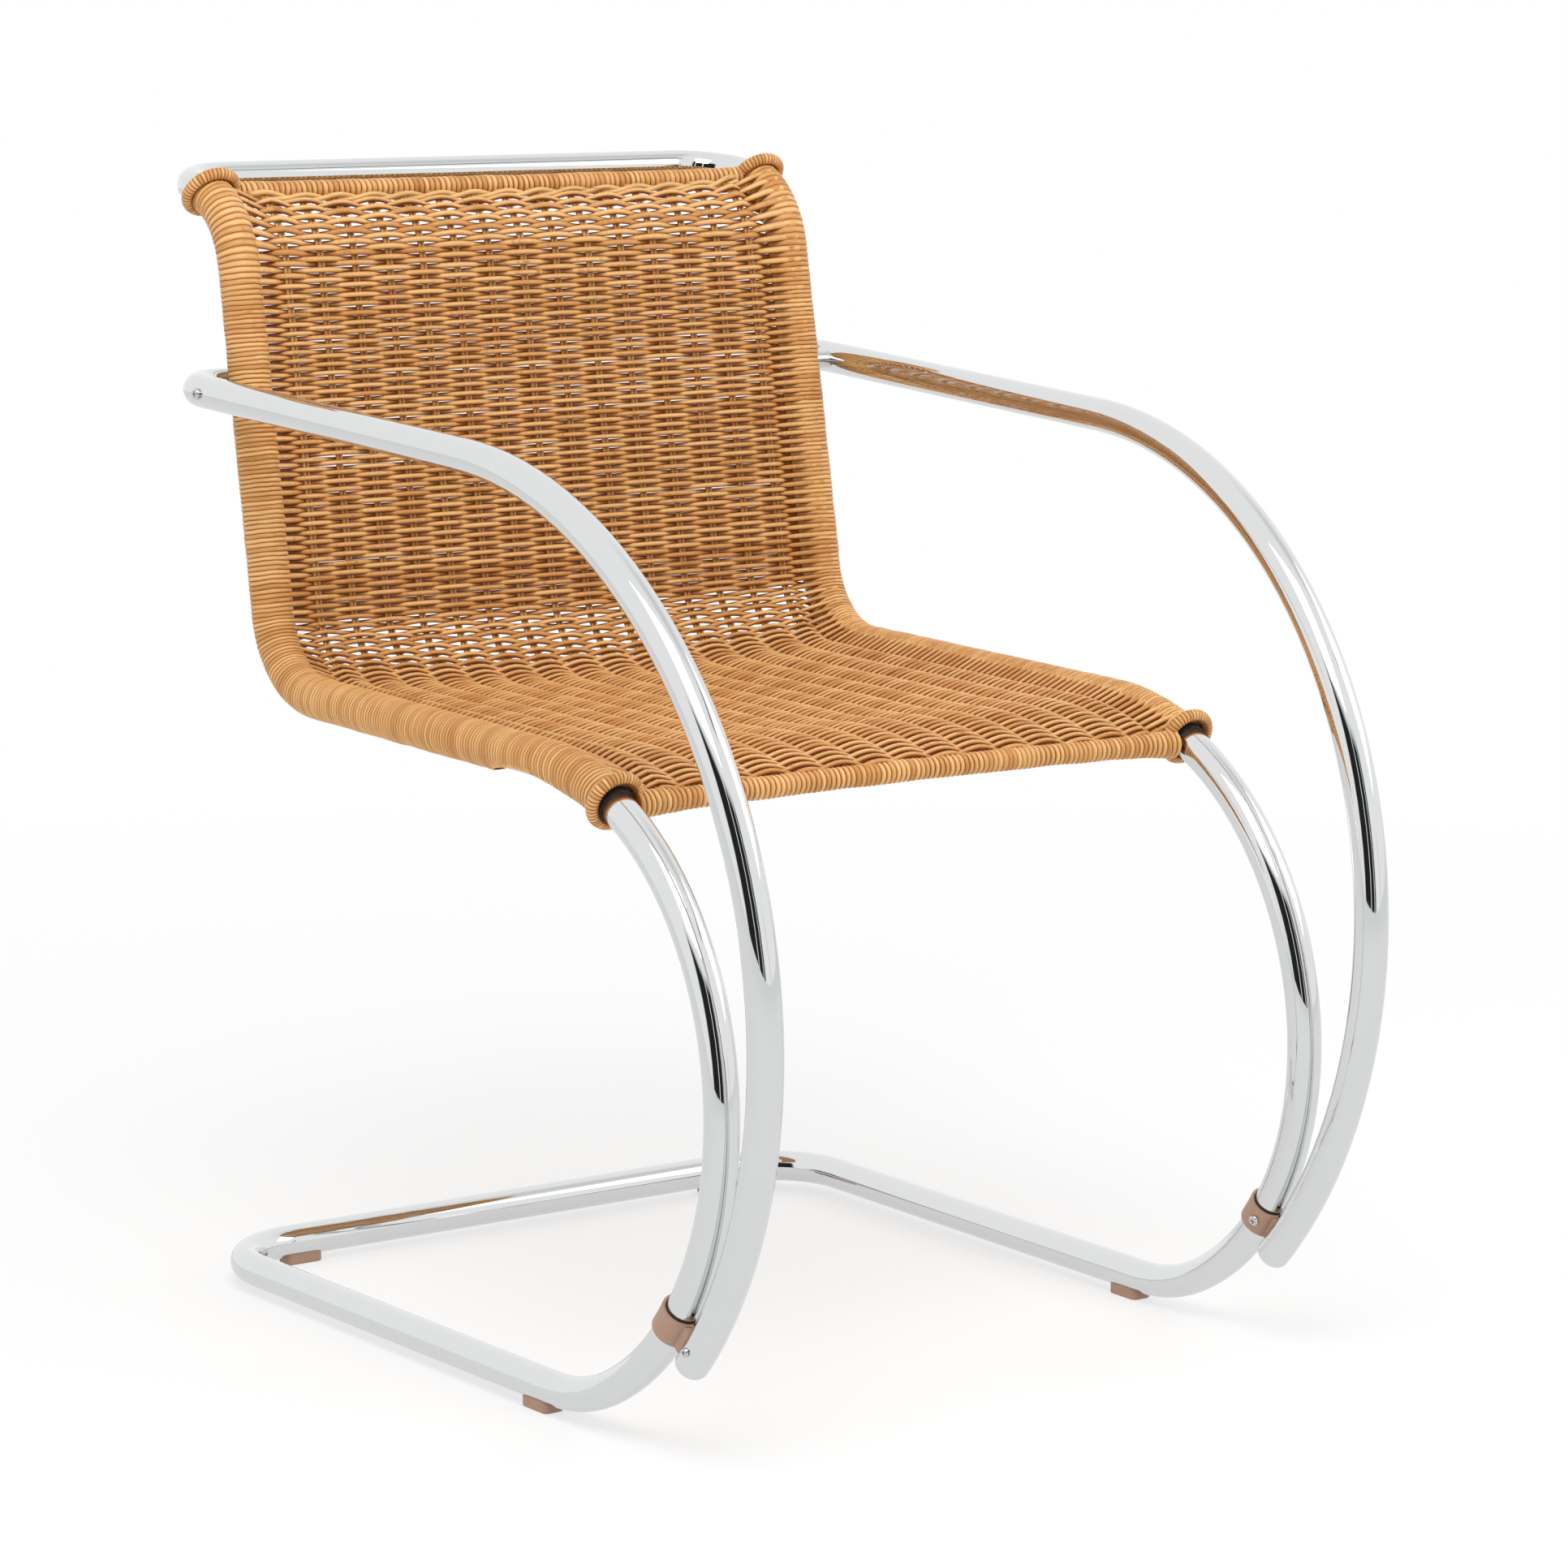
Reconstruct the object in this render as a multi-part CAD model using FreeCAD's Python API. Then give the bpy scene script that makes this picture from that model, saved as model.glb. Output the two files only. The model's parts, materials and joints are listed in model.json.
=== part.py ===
import FreeCAD, Part
import math
import os

# Cantilever armchair of bent steel tube with a woven cane seat and back.
# Millimetres, +Z up, the sitter faces -Y, left is -X as seen from the front.
# Side shapes are drawn in a plane (u rearward, w up) whose u zero is the centre
# of the big leg arc; everything is moved by -Y_MID when it is written out.

V = FreeCAD.Vector

# Tube stock
TUBE_D = 24.0
WALL = 2.0
R_TUBE = TUBE_D / 2
R_BORE = R_TUBE - WALL
FIT = 0.1

# Glides, they set the height of the floor tube
GLIDE_T = 5.0
GLIDE_L = 30.0
GLIDE_W = 17.0
GLIDE_PEG_R = 3.0
GLIDE_PEG_UP = 7.0
FLOOR_W = GLIDE_T + R_TUBE

# Side frame profile
LEG_R = 217.5
LEG_LIFT = 10.0
LEG_W = LEG_R + LEG_LIFT
TOE_R = 149.5
RAIL_RISE = 1.45
SEAT_CORNER_U = 350.5
SEAT_BEND_R = 66.5
RECLINE = 9.8
TOP_BEND_R = 64.0
TOP_EXIT = 8.0
TOP_BAR_U = 502.0
TOP_BAR_W = 816.5
FLOOR_BAR_U = 430.0
FLOOR_CORNER_R = 62.0
TOP_CORNER_R = 43.0

# The side frame leans in towards the top and opens towards the rear
FRAME_X = 257.5
FRAME_OPEN = 0.018
FRAME_LEAN = -0.0296

# Just behind the leg a slight sideways bend brings rail and upright nearly upright
RAIL_BEND_BACK = 12.0
SEAM_TURN = 40.0
RAIL_OPEN = 0.002
RAIL_LEAN = -0.0065

# Arm profile, hung on the leg at the saddle and led past the upright
ARM_R = 345.5
ARM_FOOT_A = 220.0
ARM_FOOT_GAP = 3.32
ARM_FOOT_DIR = 214.0
ARM_FOOT_IN = 2.66
ARM_END_L = 13.9
ARM_RISE = 3.47
ARM_REAR_REACH = 34.0
ARM_REAR_R = 27.0
ARM_TIP_L = 13.5
ARM_OPEN = 0.0206
ARM_LEAN = 0.0305
CAP_T = 7.0
CAP_ROUND = 5.5
CAP_SPIGOT = 6.0

# Saddle between leg and arm
SADDLE_A = 217.3
SADDLE_L = 20.0
SADDLE_T = 2.0
LINER_T = 0.6
LINER_OVER = 1.2
PAD_W = 13.0
PAD_BITE = 6.7
PEG_R = 5.0
PEG_REACH = 5.0
SADDLE_SCREW_TURN = 20.0

# Screws: shank radius, head radius, head height
SADDLE_SCREW = (2.0, 3.9, 2.4)
PIN_SCREW = (1.6, 3.2, 2.0)
REAR_SCREW = (2.5, 4.2, 2.6)
REAR_SCREW_BACK = 4.0
SPACER_R = 6.5

# Splice plugs in the middle of both cross bars
SPLICE_L = 64.0

# Places of the glides
GLIDE_REAR_X = 192.0
GLIDE_FRONT_BACK = 15.0

# Cane work
WRAP_GAP = 0.3
WRAP_T = 3.2
RING_A = 25.0
RING_r = 4.8
RING_HOLE_R = 14.5
RING_UP = 2.4
TOP_RING_BACK = 13.1
PANEL_T = 5.0
PANEL_OFF = 3.5
PANEL_STEPS = {"arc": 12, "line": 6}
BORDER_R = 7.8
FRONT_BOW = 3.0
TOP_BORDER_SAG = 0.5
TOP_BORDER_LIFT = 1.5
SHORT = 20.0
PAIR_R = 2.4
PAIR_BACK = 18.0
SLOT_U = 11.0
SLOT_L = 94.0
SLOT_OPEN = 7.0

R_WRAP = R_TUBE + WRAP_GAP + WRAP_T
RING_R = RING_HOLE_R + RING_r
RING_OUT = RING_R + RING_r


def rad(a):
    return math.radians(a)


class Plane:
    """A slightly turned side plane that maps (u, w) to space."""

    def __init__(self, origin, u_ref, w_ref, opening, lean):
        self.u = V(opening, 1, 0).normalize()
        self.n = self.u.cross(V(lean, 0, 1)).normalize()
        self.w = self.n.cross(self.u).normalize()
        self.o = origin
        self.u_ref = u_ref
        self.w_ref = w_ref

    def p(self, u, w):
        return self.o + self.u * (u - self.u_ref) + self.w * (w - self.w_ref)

    def d(self, u, w):
        return (self.u * u + self.w * w).normalize()


class Profile:
    """A chain of tangent lines and arcs in a side plane, by length."""

    def __init__(self):
        self.segs = []
        self.total = 0.0

    def line(self, plane, a, b):
        length = math.hypot(b[0] - a[0], b[1] - a[1])
        self.segs.append(("line", a, b, length, plane))
        self.total += length

    def arc(self, plane, c, r, a0, a1):
        length = abs(rad(a1 - a0)) * r
        self.segs.append(("arc", c, (r, a0, a1), length, plane))
        self.total += length

    def at(self, s):
        """Point and unit direction in (u, w) at a length along the chain."""
        s = min(max(s, 0.0), self.total)
        for kind, a, b, length, plane in self.segs:
            if s <= length + 1e-9:
                break
            s -= length
        t = s / length
        if kind == "line":
            du, dw = (b[0] - a[0]) / length, (b[1] - a[1]) / length
            return (a[0] + du * s, a[1] + dw * s), (du, dw)
        r, a0, a1 = b
        ang = rad(a0 + (a1 - a0) * t)
        sign = 1 if a1 > a0 else -1
        point = (a[0] + r * math.cos(ang), a[1] + r * math.sin(ang))
        return point, (-sign * math.sin(ang), sign * math.cos(ang))

    def axis(self, s):
        """Point, direction and normal towards the sitter in space at a length."""
        (u, w), (du, dw) = self.at(s)
        for seg in self.segs:
            if s <= seg[3] + 1e-9:
                break
            s -= seg[3]
        return seg[4].p(u, w), seg[4].d(du, dw), V(0, -dw, du)

    def edges(self):
        """Exact edges in space, with a bend where two lines change plane."""
        out = []
        begin = None
        for index, (kind, a, b, length, plane) in enumerate(self.segs):
            if kind == "line":
                start, end = begin or plane.p(*a), plane.p(*b)
                begin = None
                after = self.segs[index + 1] if index + 1 < len(self.segs) else None
                if after and after[0] == "line":
                    far = after[4].p(*after[2])
                    turn = (end - start).getAngle(far - end)
                    reach = (end - start).Length
                    bend = fillet(start, end, far, reach / math.tan(turn / 2))
                    out.append(Part.Arc(start, bend[1], bend[2]).toShape())
                    begin = bend[2]
                else:
                    out.append(Part.makeLine(start, end))
            else:
                r, a0, a1 = b
                out.append(arc_edge(a, r, plane, a0, a1))
        return out

    def s_of_u(self, u, lo, hi):
        """Length at which the chain reaches u, searched between lo and hi."""
        for _ in range(60):
            mid = (lo + hi) / 2
            if self.at(mid)[0][0] < u:
                lo = mid
            else:
                hi = mid
        return (lo + hi) / 2


def fillet(a, b, c, r):
    """Start, middle and end of a bend of radius r at corner b."""
    d1 = (b - a).normalize()
    d2 = (c - b).normalize()
    turn = d1.getAngle(d2)
    t = r * math.tan(turn / 2)
    start, end = b - d1 * t, b + d2 * t
    normal = (d2 - d1 * d1.dot(d2)).normalize()
    centre = start + normal * r
    half = turn / 2
    middle = centre - normal * (r * math.cos(half)) + d1 * (r * math.sin(half))
    return start, middle, end


def bar(edges, r_out, r_in=0.0):
    """Bar or tube of exact straight and bent lengths along lines and arcs.

    Every second length is turned about its line, so that no two seams touch.
    """
    lengths = []
    for index, edge in enumerate(edges):
        first, last = edge.FirstParameter, edge.LastParameter
        start, tangent = edge.valueAt(first), edge.tangentAt(first)
        if isinstance(tangent, tuple):
            tangent = tangent[0]
        face = Part.Face(Part.Wire([Part.makeCircle(r_out, start, tangent)]))
        if r_in > 0:
            face = face.cut(Part.Face(Part.Wire([Part.makeCircle(r_in, start, tangent)])))
            face = face.Faces[0]
        if index % 2:
            face.rotate(start, tangent, SEAM_TURN)
        if edge.Curve.TypeId == "Part::GeomLine":
            lengths.append(face.extrude(edge.valueAt(last) - start))
        else:
            angle = math.degrees(last - first)
            lengths.append(face.revolve(edge.Curve.Center, edge.Curve.Axis, angle))
    if len(lengths) == 1:
        return lengths[0]
    return lengths[0].multiFuse(lengths[1:])


def mirror(shape):
    return shape.mirror(V(0, 0, 0), V(1, 0, 0))


def rod(a, direction, length, r):
    return Part.makeCylinder(r, length, a, direction)


def arc_edge(profile_centre, r, plane, a0, a1):
    pts = []
    for ang in (a0, (a0 + a1) / 2, a1):
        pts.append(plane.p(profile_centre[0] + r * math.cos(rad(ang)),
                           profile_centre[1] + r * math.sin(rad(ang))))
    return Part.Arc(*pts).toShape()


def side_profile(plane):
    """Runner, toe bend, big leg arc, seat rail, seat bend, upright, top bend."""
    drop = LEG_W - FLOOR_W - TOE_R
    toe_u = -math.sqrt((LEG_R - TOE_R) ** 2 - drop ** 2)
    meet = math.degrees(math.atan2(-drop, toe_u)) % 360
    rail_a = 90 + RAIL_RISE
    rail0 = (LEG_R * math.cos(rad(rail_a)), LEG_W + LEG_R * math.sin(rad(rail_a)))
    rise = math.tan(rad(RAIL_RISE))
    corner = (SEAT_CORNER_U, rail0[1] + (SEAT_CORNER_U - rail0[0]) * rise)
    turn = 90 - RECLINE - RAIL_RISE
    t = SEAT_BEND_R * math.tan(rad(turn / 2))
    b0 = (corner[0] - t * math.cos(rad(RAIL_RISE)), corner[1] - t * math.sin(rad(RAIL_RISE)))
    cen = (b0[0] - SEAT_BEND_R * math.sin(rad(RAIL_RISE)),
           b0[1] + SEAT_BEND_R * math.cos(rad(RAIL_RISE)))
    b1 = (corner[0] + t * math.sin(rad(RECLINE)), corner[1] + t * math.cos(rad(RECLINE)))
    # Upright line meets the exit line that runs back to the top bar
    sr, cr = math.sin(rad(RECLINE)), math.cos(rad(RECLINE))
    te = math.tan(rad(TOP_EXIT))
    k = (TOP_BAR_W - (TOP_BAR_U - corner[0]) * te - corner[1]) / (cr - sr * te)
    knee = (corner[0] + sr * k, corner[1] + cr * k)
    turn2 = 90 - RECLINE - TOP_EXIT
    t2 = TOP_BEND_R * math.tan(rad(turn2 / 2))
    k0 = (knee[0] - t2 * sr, knee[1] - t2 * cr)
    k1 = (knee[0] + t2 * math.cos(rad(TOP_EXIT)), knee[1] + t2 * math.sin(rad(TOP_EXIT)))
    cen2 = (k0[0] + TOP_BEND_R * cr, k0[1] - TOP_BEND_R * sr)
    turn_at = (rail0[0] + RAIL_BEND_BACK * math.cos(rad(RAIL_RISE)),
               rail0[1] + RAIL_BEND_BACK * math.sin(rad(RAIL_RISE)))
    back = Plane(plane.p(*turn_at), turn_at[0], turn_at[1], RAIL_OPEN, RAIL_LEAN)
    lower = Profile()
    lower.arc(plane, (toe_u, FLOOR_W + TOE_R), TOE_R, 270, meet)
    lower.arc(plane, (0, LEG_W), LEG_R, meet, rail_a)
    upper = Profile()
    upper.arc(plane, (0, LEG_W), LEG_R, 90 + RING_A, rail_a)
    for prof in (lower, upper):
        prof.line(plane, rail0, turn_at)
        prof.line(back, turn_at, b0)
        prof.arc(back, cen, SEAT_BEND_R, -90 + RAIL_RISE, -90 + RAIL_RISE + turn)
        prof.line(back, b1, k0)
        prof.arc(back, cen2, TOP_BEND_R, 180 - RECLINE, 180 - RECLINE - turn2)
    return lower, upper, toe_u, k1, back


FRAME = Plane(V(FRAME_X, 0, FLOOR_W), 0.0, FLOOR_W, FRAME_OPEN, FRAME_LEAN)
LOWER, UPPER, TOE_U, KNEE_END, BACK = side_profile(FRAME)
TOP_S = UPPER.s_of_u(KNEE_END[0] - TOP_RING_BACK, UPPER.total - UPPER.segs[-1][3], UPPER.total)

# The arm meets the leg at the saddle; its big arc is placed from there
LEG_AT = (LEG_R * math.cos(rad(SADDLE_A)), LEG_W + LEG_R * math.sin(rad(SADDLE_A)))
FOOT_AT = (LEG_AT[0] + (TUBE_D + ARM_FOOT_GAP) * math.cos(rad(ARM_FOOT_DIR)),
           LEG_AT[1] + (TUBE_D + ARM_FOOT_GAP) * math.sin(rad(ARM_FOOT_DIR)))
ARM = Plane(V(FRAME.p(*LEG_AT).x - ARM_FOOT_IN, FOOT_AT[0], FOOT_AT[1]),
            FOOT_AT[0], FOOT_AT[1], ARM_OPEN, ARM_LEAN)
ARM_U = FOOT_AT[0] - ARM_R * math.cos(rad(ARM_FOOT_A))
ARM_W = FOOT_AT[1] - ARM_R * math.sin(rad(ARM_FOOT_A))
ARM_END_A = ARM_FOOT_A + math.degrees(ARM_END_L / ARM_R)
ARM_TOP_A = 90 + ARM_RISE
ARM_START = (ARM_U + ARM_R * math.cos(rad(ARM_TOP_A)), ARM_W + ARM_R * math.sin(rad(ARM_TOP_A)))


def arm_height(u):
    return ARM_START[1] + (u - ARM_START[0]) * math.tan(rad(ARM_RISE))


def upright_at(w):
    """Length coordinate u of the upright's axis at height w."""
    foot = UPPER.segs[-2][1]
    return foot[0] + (w - foot[1]) * math.tan(rad(RECLINE))


# The arm crosses the upright where both lines have the same u
POST_U = upright_at(arm_height(SEAT_CORNER_U))
for _ in range(20):
    POST_U = upright_at(arm_height(POST_U))

# The origin is under the middle of the overall box
Y_FRONT = ARM.p(ARM_U - ARM_R, ARM_W).y - R_TUBE
Y_REAR = BACK.p(TOP_BAR_U, TOP_BAR_W).y + R_TUBE
Y_MID = (Y_FRONT + Y_REAR) / 2


def frame_edges():
    """One half of the main frame from mid floor bar to mid top bar."""
    corner = FRAME.p(FLOOR_BAR_U, FLOOR_W)
    mid_floor = V(0, corner.y, corner.z)
    toe = FRAME.p(TOE_U, FLOOR_W)
    f0, fm, f1 = fillet(mid_floor, corner, toe, FLOOR_CORNER_R)
    top = BACK.p(TOP_BAR_U, TOP_BAR_W)
    mid_top = V(0, top.y, top.z)
    knee = BACK.p(*KNEE_END)
    t0, tm, t1 = fillet(knee, top, mid_top, TOP_CORNER_R)
    edges = [Part.makeLine(mid_floor, f0), Part.Arc(f0, fm, f1).toShape(),
             Part.makeLine(f1, toe)]
    edges += LOWER.edges()
    edges += [Part.makeLine(knee, t0), Part.Arc(t0, tm, t1).toShape(),
              Part.makeLine(t1, mid_top)]
    return edges, mid_floor, mid_top, f1, toe


def arm_edges():
    """Arm tube from its foot up the big arc, back past the upright and in."""
    rear_u = POST_U + ARM_REAR_REACH
    corner = ARM.p(rear_u, arm_height(rear_u))
    p0 = ARM.p(*ARM_START)
    r0, rm, r1 = fillet(p0, corner, corner - V(100, 0, 0), ARM_REAR_R)
    tip = r1 - V(ARM_TIP_L, 0, 0)
    edges = [arc_edge((ARM_U, ARM_W), ARM_R, ARM, ARM_END_A, ARM_TOP_A),
             Part.makeLine(p0, r0), Part.Arc(r0, rm, r1).toShape(),
             Part.makeLine(r1, tip)]
    return edges, tip


def screw(head_seat, direction, length, size):
    """Pan head cross screw; the head sits outside head_seat."""
    r_shank, r_head, h_head = size
    shape = rod(V(0, 0, 0), V(0, 0, 1), h_head, r_head)
    top = [e for e in shape.Edges if abs(e.BoundBox.ZMin - h_head) < 1e-6
           and abs(e.BoundBox.ZMax - h_head) < 1e-6]
    shape = shape.makeFillet(h_head * 0.62, top)
    slot_l, slot_w = r_head * 1.1, r_head * 0.24
    for a in (0, 90):
        cut = Part.makeBox(slot_l, slot_w, h_head, V(-slot_l / 2, -slot_w / 2, h_head * 0.45))
        cut.rotate(V(0, 0, 0), V(0, 0, 1), a)
        shape = shape.cut(cut)
    shape = shape.fuse(rod(V(0, 0, -length), V(0, 0, 1), length, r_shank))
    shape.Placement = FreeCAD.Placement(head_seat, FreeCAD.Rotation(V(0, 0, 1), direction * -1))
    return shape


def end_cap(end, outward, head, rounding):
    """Push-in tube end with a rounded head."""
    cap = rod(end, outward, head, R_TUBE)
    far = end + outward * head
    edge = [e for e in cap.Edges if e.Curve.TypeId == "Part::GeomCircle"
            and e.Curve.Center.distanceToPoint(far) < 1e-6]
    cap = cap.makeFillet(rounding, edge)
    return cap.fuse(rod(end - outward * CAP_SPIGOT, outward, CAP_SPIGOT, R_BORE - FIT))


def saddle_parts():
    """Tan band on the leg with pad and peg for the arm, liner and hole tools."""
    mid = FRAME.p(*LEG_AT)
    out = FRAME.d(math.cos(rad(SADDLE_A)), math.sin(rad(SADDLE_A)))
    half = math.degrees(SADDLE_L / 2 / LEG_R)
    over = math.degrees(LINER_OVER / LEG_R)
    band_edge = arc_edge((0, LEG_W), LEG_R, FRAME, SADDLE_A - half, SADDLE_A + half)
    liner_edge = arc_edge((0, LEG_W), LEG_R, FRAME, SADDLE_A - half - over, SADDLE_A + half)
    r_liner = R_TUBE + FIT / 2 + LINER_T
    liner = bar([liner_edge], r_liner, R_TUBE + FIT / 2)
    r_in, r_out = r_liner + FIT / 2, r_liner + FIT / 2 + SADDLE_T
    band_bore = bar([liner_edge], r_in)
    tangent = FRAME.d(-math.sin(rad(SADDLE_A)), math.cos(rad(SADDLE_A)))
    across = tangent.cross(out).normalize()
    arm_point = ARM.p(*FOOT_AT)
    pad = Part.makeBox(PAD_W, SADDLE_L * 0.96, TUBE_D + ARM_FOOT_GAP - R_TUBE + PAD_BITE)
    pad.translate(V(-PAD_W / 2, -SADDLE_L * 0.48, 0))
    rot = FreeCAD.Rotation(across, tangent * -1, out, "ZXY")
    pad.Placement = FreeCAD.Placement(mid, rot).multiply(pad.Placement)
    past = math.degrees(1.8 * SADDLE_L / ARM_R)
    arm_edge = arc_edge((ARM_U, ARM_W), ARM_R, ARM, ARM_FOOT_A - past, ARM_FOOT_A + past)
    arm_body = bar([arm_edge], R_TUBE + FIT / 2)
    band = bar([band_edge], r_out).fuse(pad.cut(arm_body))
    to_arm = (arm_point - mid).normalize()
    reach = arm_point.distanceToPoint(mid) + PEG_REACH
    peg_in = R_TUBE + LINER_T + SADDLE_T / 2
    peg = rod(mid + to_arm * peg_in, to_arm, reach - peg_in, PEG_R)
    band = band.fuse(peg).cut(band_bore)
    return band, liner, mid, out, across, arm_point, to_arm, r_out


def glide(point, along):
    """Floor glide under a tube at point, with a peg into the tube."""
    side = V(0, 0, 1).cross(along)
    body = Part.makeBox(GLIDE_L, GLIDE_W, point.z - R_TUBE * 0.55)
    upright = [e for e in body.Edges if e.BoundBox.ZLength > 1]
    body = body.makeFillet(4.0, upright)
    body.translate(V(-GLIDE_L / 2, -GLIDE_W / 2, 0))
    angle = math.degrees(math.atan2(along.y, along.x))
    body.rotate(V(0, 0, 0), V(0, 0, 1), angle)
    body.translate(V(point.x, point.y, 0))
    cradle = rod(point - along * GLIDE_L, along, 2 * GLIDE_L, R_TUBE + FIT / 2)
    body = body.cut(cradle)
    foot = [e for e in body.Edges if e.BoundBox.ZMax < 1e-6]
    body = body.makeChamfer(0.8, foot)
    peg_top = GLIDE_T + GLIDE_PEG_UP
    peg = rod(V(point.x, point.y, GLIDE_T - 1.0), V(0, 0, 1), peg_top - GLIDE_T + 1.0, GLIDE_PEG_R)
    return body.fuse(peg).removeSplitter(), side


def smooth(points, s):
    """Cosine blend through (position, value) pairs."""
    if s <= points[0][0]:
        return points[0][1]
    for (a, va), (b, vb) in zip(points[:-1], points[1:]):
        if s <= b:
            t = (1 - math.cos(math.pi * (s - a) / (b - a))) / 2
            return va + (vb - va) * t
    return points[-1][1]


BEND_S = sum(seg[3] for seg in UPPER.segs[:-3]) + UPPER.segs[-3][3] / 2
SAG = ((0.0, -FRONT_BOW), (150.0, 7.0), (BEND_S - 60, 11.0), (BEND_S + 110, 8.0), (TOP_S, 3.0))


def panel_point(s, t, lift):
    """Point of the woven sheet: s along the side, t across (-1 to 1)."""
    axis, _, normal = UPPER.axis(s)
    depth = PANEL_OFF - smooth(SAG, s) * (1 - t * t) + lift
    half = axis.x - R_WRAP - WRAP_GAP
    return V(half * t, axis.y, axis.z) + normal * depth


def woven_panel():
    """The woven sheet as a lofted solid with its sag."""
    start, end = BORDER_R + RING_r * 0.5, TOP_S - BORDER_R - RING_r * 0.2
    stations = []
    s0 = 0.0
    for kind, _, _, length, _ in UPPER.segs:
        steps = PANEL_STEPS[kind] if length > SHORT else 1
        for i in range(steps):
            s = s0 + length * i / steps
            if start + 4 < s < end - 4:
                stations.append(s)
        s0 += length
    wires = []
    for s in [start] + stations + [end]:
        curves = []
        for lift in (PANEL_T / 2, -PANEL_T / 2):
            pts = [panel_point(s, t, lift) for t in (-1, 0, 1)]
            curves.append(Part.Arc(*pts).toShape())
        a, b = curves
        side0 = Part.makeLine(a.Vertexes[0].Point, b.Vertexes[0].Point)
        side1 = Part.makeLine(a.Vertexes[-1].Point, b.Vertexes[-1].Point)
        wires.append(Part.Wire(Part.__sortEdges__([a, side1, b, side0])))
    return Part.makeLoft(wires, True, True)


def cross_roll(s, radius, sag, lift, end_gap):
    """A round roll across the panel from side to side at length s."""
    axis, _, normal = UPPER.axis(s)
    half = axis.x - end_gap
    pts = []
    for t in (-1, 0, 1):
        pts.append(V(half * t, axis.y, axis.z) + normal * (lift - sag * (1 - t * t)))
    return bar([Part.Arc(*pts).toShape()], radius)


def end_ring(s):
    axis, along, normal = UPPER.axis(s)
    return Part.makeTorus(RING_R, RING_r, axis + normal * RING_UP, along)


def side_wrap():
    """Cane sleeve on rail and upright, open below where the rail turns down."""
    clear = RING_r + WRAP_GAP
    prof = Profile()
    first = UPPER.segs[0]
    r, a0, a1 = first[2]
    prof.arc(first[4], first[1], r, a0 - math.degrees(clear / r), a1)
    prof.segs += UPPER.segs[1:-1]
    last = UPPER.segs[-1]
    r, a0, a1 = last[2]
    used = TOP_S - sum(seg[3] for seg in UPPER.segs[:-1]) - clear
    prof.arc(last[4], last[1], r, a0, a0 - math.degrees(used / r))
    shape = bar(prof.edges(), R_WRAP, R_TUBE + WRAP_GAP)
    rail_w = LEG_W + LEG_R
    sag = R_WRAP - SLOT_OPEN
    r_cut = ((SLOT_L / 2) ** 2 + sag ** 2) / (2 * sag)
    centre = FRAME.p(SLOT_U, rail_w - SLOT_OPEN - r_cut)
    cutter = rod(V(centre.x - 40, centre.y, centre.z), V(1, 0, 0), 80, r_cut)
    return shape.cut(cutter)


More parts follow.
